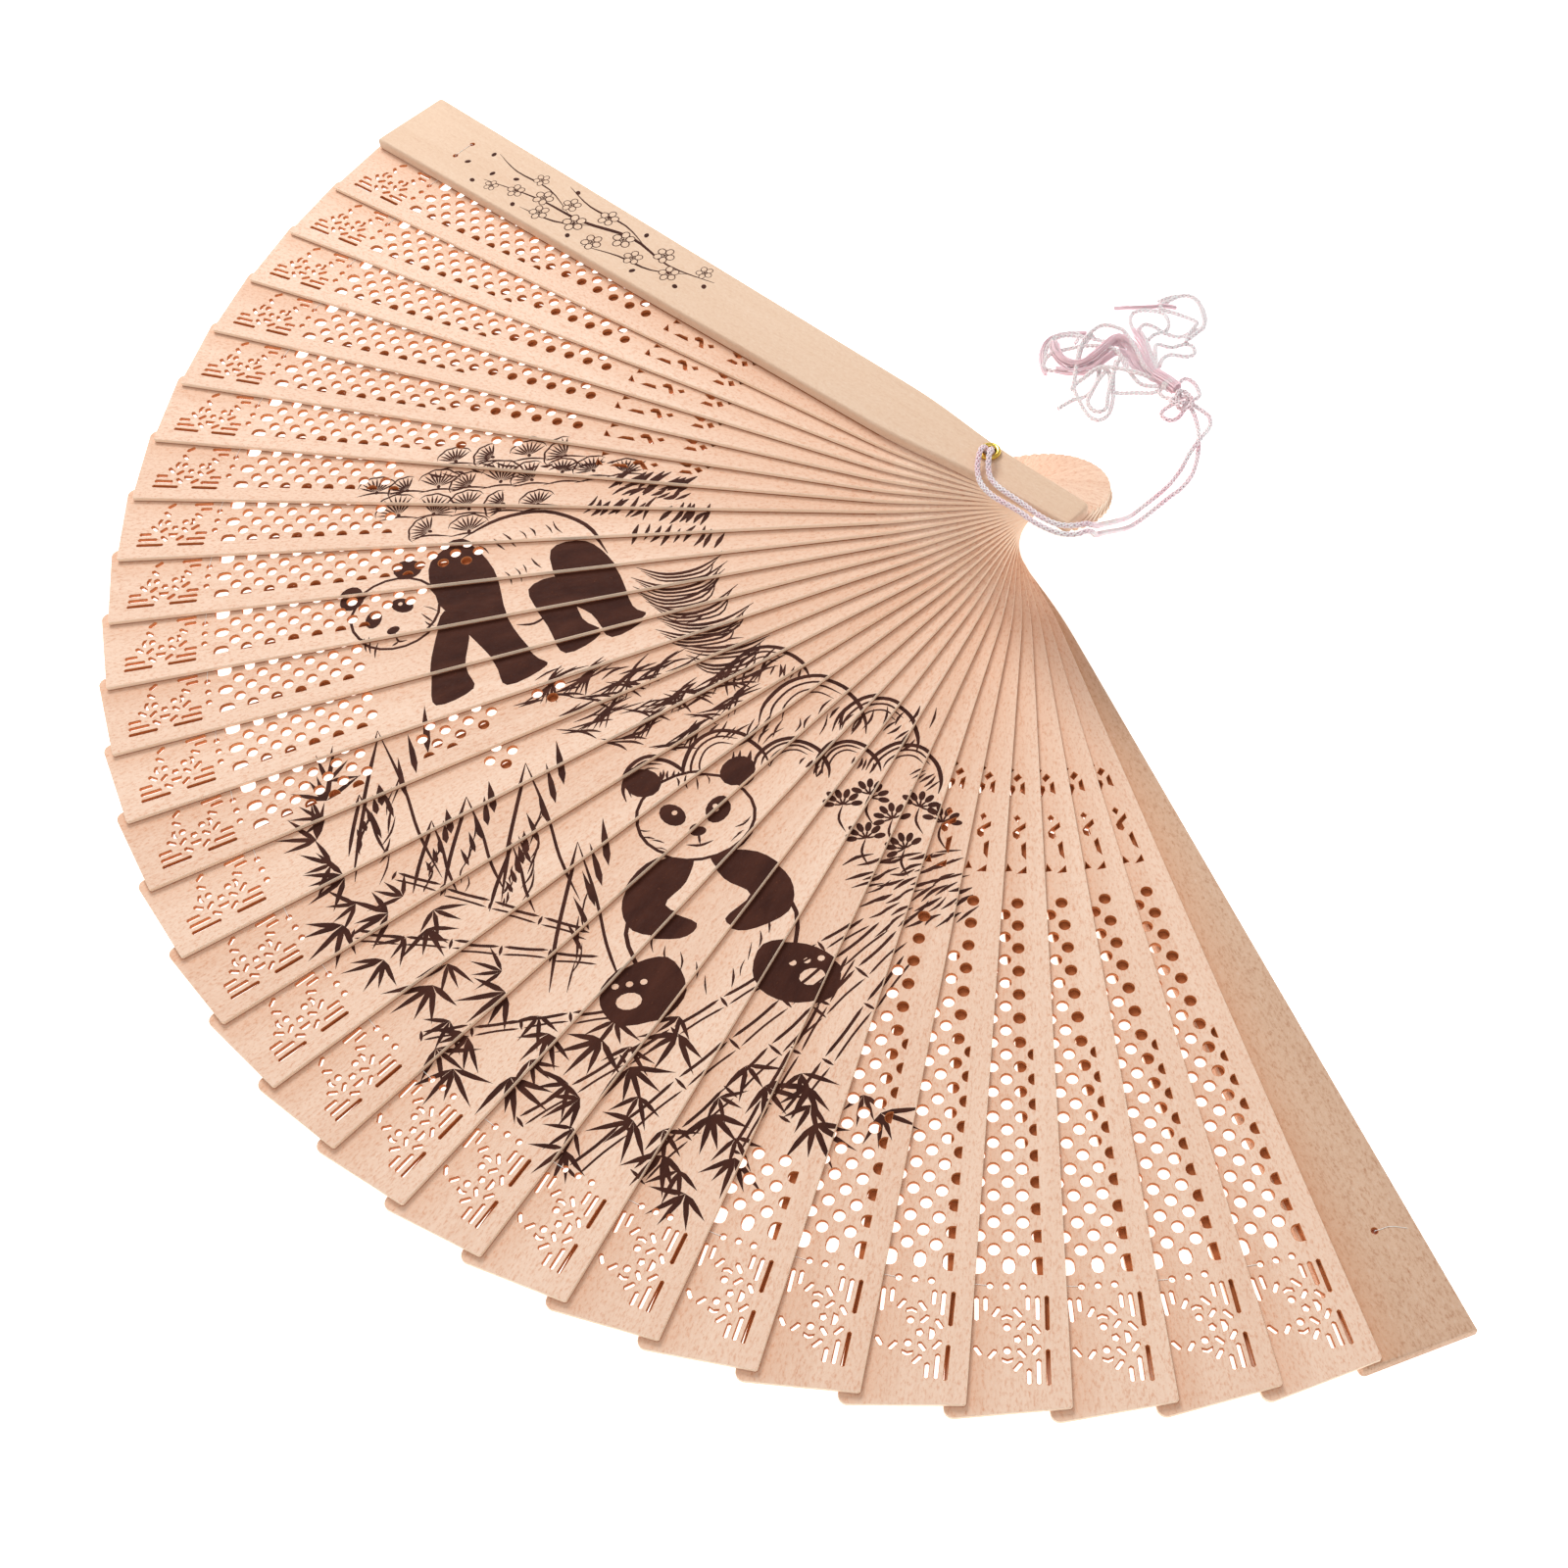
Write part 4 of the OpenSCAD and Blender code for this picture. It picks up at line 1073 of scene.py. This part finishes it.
def store_grain(mesh, index, high):
    """Notes each point's place along the stick, the stick's shade and the next stick's cover."""
    mesh.attributes.new("grain", "FLOAT_VECTOR", "POINT")
    mesh.attributes.new("shade", "FLOAT", "POINT")
    mesh.attributes.new("cover_gap", "FLOAT", "POINT")
    grain, shade, gap = (mesh.attributes[name].data for name in ("grain", "shade", "cover_gap"))
    level = random.Random(40 + index).uniform(-1, 1)
    for v in mesh.vertices:
        x, y = turned(v.co.x, v.co.y, -stick_direction(index))
        grain[v.index].vector = (x * MM + 0.413 * index, y * MM + 0.173 * index, v.co.z * MM)
        shade[v.index].value = level
        # The cover distance feeds the painted shade beside and under the next stick, on the upper face
        # only
        upper = v.co.z > high - 0.01
        gap[v.index].value = (cover_distance(index, v.co) if upper else UNCOVERED) * MM


def stick_object(index, picture, materials, sizes):
    """One stick with eased edges, and the picture printed into its upper face."""
    node = STICKS[index]
    low, high = heights(node)
    loops = cap_loops(node)
    profiles = stick_profiles(index, loops, low, high, sizes)
    rings = [inset(loop, profile[0][0]) for loop, profile in zip(loops, profiles)]
    cover = cap_loops(STICKS[index + 1])[0] if index < LAST else None
    shapes = picture.near(index)
    verts, tris = triangulated(rings, [s[0] for s in shapes], cover)

    build = bmesh.new()
    top = {}
    for corners, mark in tris:
        for v in corners:
            if v not in top:
                top[v] = build.verts.new((verts[v].x, verts[v].y, high))
        face = build.faces.new([top[v] for v in corners])
        face.material_index = INK if mark is not None and shapes[mark][1] else WOOD
    exact = {
        (round(p[0], 3), round(p[1], 3)): (r, i, 0.0)
        for r, ring in enumerate(rings) for i, p in enumerate(ring)
    }
    bottoms = []
    for loop in border_loops(tris):
        places = [
            exact.get((round(verts[v].x, 3), round(verts[v].y, 3))) or nearest_on(rings, verts[v])
            for v in loop
        ]
        owners = [place[0] for place in places]
        ring = max(set(owners), key=owners.count)
        bottoms.append((ring, add_walls(
            build, [top[v] for v in loop], places, loops[ring], profiles[ring],
            HOLE_WALL if ring else EDGE,
        )))
    bottoms.sort(key=lambda pair: pair[0])
    add_underside(build, [edge for _, edge in bottoms])
    mesh = bpy.data.meshes.new(node + "_wood")
    build.to_mesh(mesh)
    build.free()
    store_grain(mesh, index, high)
    mesh.transform(Matrix.Scale(MM, 4))
    for material in materials:
        mesh.materials.append(material)
    for face in mesh.polygons:
        face.use_smooth = index in (0, LAST)
    mesh.set_sharp_from_angle(angle=math.radians(28))
    return new_object(node.replace("blade", "printed_blade") + "_stick", mesh)


def cover_distance(index, place):
    """Distance in millimetres from the outline of the stick above, negative underneath it."""
    if index == LAST:
        return UNCOVERED
    a = stick_direction(index + 1)
    start, end = (
        Vector(turned(x, half_width + PIVOT_OFF, a))
        for x, half_width in ((SHOULDER_END, 6.53), (STICK_LENGTH, 9.8))
    )
    line = (end - start).normalized()
    off = place.xy - start
    outward = place.x * math.cos(a) + place.y * math.sin(a)
    return max(line.x * off.y - line.y * off.x, outward - COVER_END, COVER_START - outward)


def centre_of(loop):
    return sum(p[0] for p in loop) / len(loop), sum(p[1] for p in loop) / len(loop)


def knot_lines():
    """The knot's own winding and its two ears, in millimetres."""
    x, y = -13.4, 60.8
    body = []
    for step in range(64):
        t = math.tau * step / 64
        ring = 1.75 + 0.75 * math.cos(3 * t)
        body.append((
            x + ring * math.cos(2 * t), y + ring * math.sin(2 * t), 1.85 + 0.75 * math.sin(3 * t)
        ))
    body.append(body[0])
    ears = [
        [(-14.4, 61.4, 1.6), (-15.9, 62.1, 1.3), (-18.6, 64.2, 0.75), (-19.0, 66.4, 0.7),
         (-16.6, 67.0, 0.7), (-13.3, 65.6, 0.75), (-12.4, 63.6, 1.2), (-12.9, 61.6, 1.9)],
        [(-13.2, 60.6, 1.7), (-13.9, 59.6, 1.3), (-14.3, 57.2, 0.75), (-13.6, 55.3, 0.7),
         (-11.6, 55.2, 0.7), (-10.4, 56.7, 0.75), (-11.0, 59.2, 1.2), (-12.4, 60.8, 1.9)],
        [(-15.2, 60.9, 2.2), (-16.8, 61.9, 1.6), (-18.4, 61.9, 1.3), (-19.6, 61.0, 1.4)],
        [(-14.8, 60.0, 1.5), (-16.9, 58.9, 1.1), (-18.6, 58.9, 1.1), (-20.0, 60.2, 1.3)],
        [(-9.6, 61.0, CORD_LAY), (-11.2, 61.4, 0.9), (-12.6, 61.2, 1.4)],
        [(-10.0, 62.8, CORD_LAY), (-11.4, 62.4, 1.0), (-12.8, 61.6, 1.7)],
    ]
    return [body, *(smooth_line(ear) for ear in ears)]


def stitch_line(index):
    """The stretch of linking thread that shows on a stick, in millimetres."""
    low, high = heights(STICKS[index])
    rest, dip = high + 0.06, high - 0.08

    def place(x, y, z):
        return (*turned(THREAD_ROW + x, y + PIVOT_OFF, stick_direction(index)), z)

    if 0 < index < LAST:
        start = -THREAD_GAP
        return [place(0, start, low + 0.1), place(0, start - 0.05, dip),
                place(0, start - 0.25, rest), place(-0.3, start - 3.8, rest)]
    start, end = (THREAD_GAP, THREAD_GAP + 3.4) if index == 0 else (-THREAD_GAP, THREAD_GAP)
    line = [place(0, start, high - 0.7), place(0, start + 0.05, dip),
            place(0.05, start + 0.25, rest)]
    line += [place(0.1, start + (end - start) * f, rest) for f in (0.35, 0.65)]
    if index == 0:
        return line + [place(0.5, end, rest), place(1.3, end + 1.5, rest)]
    return line + [place(0.05, end - 0.25, rest), place(0, end - 0.05, dip),
                   place(0, end, high - 0.7)]


def lathe(profile, sides):
    """A closed ring turned from a closed profile of radius and height, in millimetres."""
    build = bmesh.new()
    rows = []
    for s in range(sides):
        a = math.tau * s / sides
        rows.append([
            build.verts.new((r * math.cos(a) * MM, r * math.sin(a) * MM, z * MM))
            for r, z in profile
        ])
    for s in range(sides):
        here, after = rows[s], rows[(s + 1) % sides]
        for i in range(len(profile)):
            j = (i + 1) % len(profile)
            build.faces.new((here[i], after[i], after[j], here[j]))
    bmesh.ops.recalc_face_normals(build, faces=build.faces)
    mesh = bpy.data.meshes.new("turned")
    build.to_mesh(mesh)
    build.free()
    turning = mesh.attributes.new("turning", "FLOAT_VECTOR", "POINT")
    for v in mesh.vertices:
        turning.data[v.index].vector = v.co
    return mesh


# ---- Sizes and colours that a user may change ----


def size_property(name, description, default):
    return bpy.props.FloatProperty(
        name=name, description=description, default=default, unit="LENGTH")


def colour_property(name, description, code):
    return bpy.props.FloatVectorProperty(
        name=name, description=description, default=tint(code), subtype="COLOR", size=4,
        min=0, max=1)


class FanSizes(bpy.types.PropertyGroup):
    edge_ease: size_property("Edge ease", "How much a blade's cut edges are eased", 0.00008)
    guard_round: size_property(
        "Guard rounding", "How far the guards' upper edges are rounded in", 0.00055)
    cord_diameter: size_property(
        "Cord diameter", "Outside diameter of each braided cord", 0.0012)
    braid_pitch: size_property(
        "Braid pitch", "Length in which a plait goes once round its cord", 0.0046)
    thread_diameter: size_property(
        "Linking thread", "Diameter of the thread that links the sticks", 0.00011)


class FanColours(bpy.types.PropertyGroup):
    blade_light: colour_property("Blade, light", "Light part of the blades' wood", "F4D3BB")
    blade_dark: colour_property("Blade, dark", "Dark part of the blades' wood", "E0B294")
    guard_light: colour_property(
        "Front guard, light", "Light part of the front guard's wood", "E6C9AF")
    guard_dark: colour_property(
        "Front guard, dark", "Dark part of the front guard's wood", "D8B293")
    rear_light: colour_property(
        "Rear guard, light", "Light part of the rear guard's wood", "DEBA9E")
    rear_dark: colour_property(
        "Rear guard, dark", "Dark part of the rear guard's wood", "C79B7B")
    silk_pale: colour_property("Silk, pale", "Pale pink of the cords and tassel", "FFF6F6")
    silk_deep: colour_property("Silk, deep", "Deeper pink of the cords and tassel", "FFDCE3")


def made_by(name, body, slot, *nodes):
    """Puts a finished piece on its body and hides the parts it stands for; its finish is not used."""
    piece = bpy.data.objects[name]
    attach(piece, body)
    if nodes:
        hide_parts(*nodes)


# ---- Operators ----


class FAN_OT_stage(bpy.types.Operator):
    """Sets the camera, the lights and the table top"""

    bl_idname = "fan.stage"
    bl_label = "Stage"

    def execute(self, context):
        scene = context.scene
        lens = bpy.data.cameras.new("camera")
        lens.sensor_width, lens.lens = CAMERA_SENSOR, CAMERA_LENS
        lens.clip_start, lens.clip_end = 0.02, 20
        camera = new_object("camera", lens)
        axes = (Vector(CAMERA_RIGHT), -Vector(CAMERA_DOWN), -Vector(CAMERA_AHEAD))
        turn = Matrix(axes).transposed().to_4x4()
        camera.matrix_world = Matrix.Translation(CAMERA_PLACE) @ turn
        scene.camera = camera
        world = bpy.data.worlds.new("studio")
        scene.world = world
        world.use_nodes = True
        background = world.node_tree.nodes["Background"].inputs
        background["Color"].default_value = (1, 1, 1, 1)
        background["Strength"].default_value = STUDIO_STRENGTH
        for name, place, size, power, colour in LAMPS:
            light = bpy.data.lights.new(name, "AREA")
            light.size = size
            light.energy = power
            light.color = colour
            lamp = new_object(name, light)
            lamp.location = place
            aim = Vector((0, -0.08, 0)) - Vector(place)
            lamp.rotation_euler = aim.to_track_quat("-Z", "Y").to_euler()
        build = bmesh.new()
        bmesh.ops.create_grid(build, x_segments=8, y_segments=8, size=2.5)
        sheet = bpy.data.meshes.new("table_top")
        build.to_mesh(sheet)
        build.free()
        fibre = sheet.attributes.new("fibre", "FLOAT_VECTOR", "POINT")
        for v in sheet.vertices:
            v.co.z = -0.00002
            fibre.data[v.index].vector = v.co
        sheet.materials.append(floor_material())
        new_object("table_top", sheet)
        scene.view_settings.view_transform = "Standard"
        return {"FINISHED"}


class FAN_OT_cords(bpy.types.Operator):
    """Braids the two cords that leave the eyelet and run to the knot"""

    bl_idname = "fan.cords"
    bl_label = "Cords"

    def execute(self, context):
        sizes, colours = context.scene.fan_sizes, context.scene.fan_colours
        silk = silk_material("braided_silk", colours.silk_pale, colours.silk_deep,
                             tint("CE5F7C"), 0.75)
        for name, route in (("cord_outer", OUTER_ROUTE), ("cord_inner", INNER_ROUTE)):
            line = smooth_line(route)
            wide = sizes.cord_diameter
            mesh = braided([line], silk, 0.3 * wide, 0.065 * wide, 0.138 * wide,
                           sizes.braid_pitch, 0.00026)
            piece = joined("braided_" + name, [mesh])
            made_by(piece.name, "rear_guard", "cord_silk", name)
        return {"FINISHED"}


class FAN_OT_knot(bpy.types.Operator):
    """Ties the knot, with its two ears, that joins the cords to the tassel"""

    bl_idname = "fan.knot"
    bl_label = "Knot"

    def execute(self, context):
        sizes, colours = context.scene.fan_sizes, context.scene.fan_colours
        silk = silk_material("knotted_silk", colours.silk_pale, colours.silk_deep,
                             tint("C04A6A"), 0.9)
        wide = sizes.cord_diameter
        mesh = braided(knot_lines(), silk, 0.29 * wide, 0.06 * wide, 0.13 * wide,
                       sizes.braid_pitch, 0.00028)
        piece = joined("cord_knot", [mesh])
        made_by(piece.name, "rear_guard", "cord_silk", "knot")
        return {"FINISHED"}


class FAN_OT_tassel(bpy.types.Operator):
    """Gathers the tassel's bound head, its silky bundle and its long braided strands"""

    bl_idname = "fan.tassel"
    bl_label = "Tassel"

    def execute(self, context):
        colours = context.scene.fan_colours
        silk = silk_material("tassel_braid", tint("FFF8F8"), colours.silk_pale,
                             tint("E59AAE"), 0.7)
        floss = silk_material("tassel_floss", colours.silk_deep, tint("FFDDE5"),
                              tint("FFC3D3"), 0.3)
        strands = [smooth_line(line, per_span=6) for line in TASSEL_STRANDS]
        meshes = [braided(strands, silk, 0.00036, 0.00007, 0.00016, 0.0042, 0.00036, 4)]
        for number, (line, threads, spread, wander) in enumerate(TASSEL_FLOSS):
            meshes.append(grown_mesh([smooth_line(line, per_span=6)], floss_tree, {
                "Threads": threads, "Spread": spread * MM, "Thread Radius": 0.00007,
                "Wander": wander * MM, "Step": 0.0011, "Seed": 5 + number, "Sides": 4,
                "Material": floss,
            }))
        made_by(joined("tassel_strands", meshes).name, "rear_guard", "tassel_silk", "tassel")
        head = [grown_mesh([smooth_line(TASSEL_HEAD)], floss_tree, {
            "Threads": 70, "Spread": 0.00165, "Thread Radius": 0.00013, "Wander": 0.00008,
            "Step": 0.0007, "Seed": 2, "Sides": 5, "Material": floss,
        })]
        binding = []
        for turn in range(5 * 24 + 1):
            a = math.tau * turn / 24
            f = 0.2 + 0.2 * turn / 120
            x, y, z = (TASSEL_HEAD[0][n] + (TASSEL_HEAD[-1][n] - TASSEL_HEAD[0][n]) * f
                       for n in range(3))
            binding.append((x + 1.55 * math.cos(a) * 0.26, y + 1.55 * math.cos(a) * 0.96,
                            z + 1.5 * math.sin(a)))
        head.append(braided([binding], silk, 0.00015, 0.00003, 0.00012, 0.0016, 0.00022, 4, 4))
        made_by(joined("bound_head", head).name, "rear_guard", "tassel_silk", "tassel_head")
        return {"FINISHED"}


class FAN_OT_sticks(bpy.types.Operator):
    """Cuts, eases and prints the two guards and the pierced blades"""

    bl_idname = "fan.sticks"
    bl_label = "Guards and blades"

    def execute(self, context):
        sizes, colours = context.scene.fan_sizes, context.scene.fan_colours
        ink = ink_material()
        # Outer cut edges of the blades: paler raw edge wood, partly a painted highlight along each edge
        edge = wood_material("pale_edge_wood_painted_highlight", tint("FCE2C8"), tint("F0C8A4"), 0.3, 0.3, 0.5)
        # Painted shade: the walls of the pierced holes are a dark saturated orange-brown, as wood looks
        # in shade
        hole_wall_shade = wood_material("pierced_edge_painted_shade", tint("D68A52"), tint("B5622C"), 0.5, 0.5, 0.5)
        # The blades and the rear guard get painted shade beside and under the stick above
        finishes = {
            "blade_wood": wood_material("blade_wood", colours.blade_light, colours.blade_dark,
                                        0.35, 0.85, 0.8, True),
            "front_guard_wood": wood_material(
                "front_guard_wood", colours.guard_light, colours.guard_dark, 0.45, 0.25, 0.3),
            "rear_guard_wood": wood_material(
                "rear_guard_wood", colours.rear_light, colours.rear_dark, 0.4, 0.8, 0.7, True),
        }
        picture = printed_picture()
        for index, node in enumerate(STICKS):
            slot = "blade_wood" if 0 < index < LAST else node + "_wood"
            materials = (finishes[slot], ink, finishes[slot] if slot != "blade_wood" else edge, hole_wall_shade)
            piece = stick_object(index, picture, materials, sizes)
            made_by(piece.name, node, slot, node)
        return {"FINISHED"}


class FAN_OT_eyelet(bpy.types.Operator):
    """Turns the brass eyelet with its rolled lip"""

    bl_idname = "fan.eyelet"
    bl_label = "Eyelet"

    def execute(self, context):
        low, high = heights("rivet")
        lip = high - 0.45
        profile = [(1.2, low), (2.4, low), (2.4, low + 0.42), (2.36, low + 0.45), (1.5, low + 0.45),
                   (1.5, lip - 0.1)]
        for step in range(13):
            a = math.radians(-120 + 240 * step / 12)
            profile.append((1.75 + 0.45 * math.cos(a), lip + 0.45 * math.sin(a)))
        profile += [(1.36, lip + 0.33), (1.26, lip + 0.2), (1.2, lip)]
        mesh = lathe(profile, 96)
        mesh.materials.append(brass_material())
        for face in mesh.polygons:
            face.use_smooth = True
        mesh.set_sharp_from_angle(angle=math.radians(40))
        made_by(new_object("eyelet", mesh).name, "rear_guard", "brass", "rivet")
        return {"FINISHED"}


class FAN_OT_thread(bpy.types.Operator):
    """Sews the linking thread's stitches on each stick"""

    bl_idname = "fan.thread"
    bl_label = "Linking thread"

    def execute(self, context):
        radius = context.scene.fan_sizes.thread_diameter / 2
        cotton = silk_material("linking_cotton", tint("FFFDFA"), tint("F3EDE6"),
                               tint("D8CFC4"), 0.2)
        for index, node in enumerate(STICKS):
            line = smooth_line(stitch_line(index), per_span=4)
            mesh = grown_mesh([line], stitch_tree, {
                "Thread Radius": radius, "Sides": 6, "Material": cotton,
            })
            piece = joined("stitches_" + node, [mesh])
            made_by(piece.name, node, "cord_silk")
        return {"FINISHED"}


class FAN_PT_pieces(bpy.types.Panel):
    """Lists the fan's sizes, colours and pieces"""

    bl_label = "Pierced folding fan"
    bl_idname = "FAN_PT_pieces"
    bl_space_type = "VIEW_3D"
    bl_region_type = "UI"
    bl_category = "Fan"

    def draw(self, context):
        for operator in OPERATORS:
            self.layout.operator(operator.bl_idname)
        for group in (context.scene.fan_sizes, context.scene.fan_colours):
            for name in group.__annotations__:
                self.layout.prop(group, name)


OPERATORS = (FAN_OT_stage, FAN_OT_knot, FAN_OT_tassel, FAN_OT_cords, FAN_OT_sticks,
             FAN_OT_eyelet, FAN_OT_thread)
CLASSES = (FanSizes, FanColours, *OPERATORS, FAN_PT_pieces)


def register():
    for kind in CLASSES:
        bpy.utils.register_class(kind)
    bpy.types.Scene.fan_sizes = bpy.props.PointerProperty(type=FanSizes)
    bpy.types.Scene.fan_colours = bpy.props.PointerProperty(type=FanColours)


def unregister():
    del bpy.types.Scene.fan_colours
    del bpy.types.Scene.fan_sizes
    for kind in reversed(CLASSES):
        bpy.utils.unregister_class(kind)


def main():
    register()
    bpy.ops.fan.stage()
    bpy.ops.fan.knot()
    bpy.ops.fan.tassel()
    bpy.ops.fan.cords()
    bpy.ops.fan.sticks()
    bpy.ops.fan.eyelet()
    bpy.ops.fan.thread()


if __name__ == "__main__":
    main()
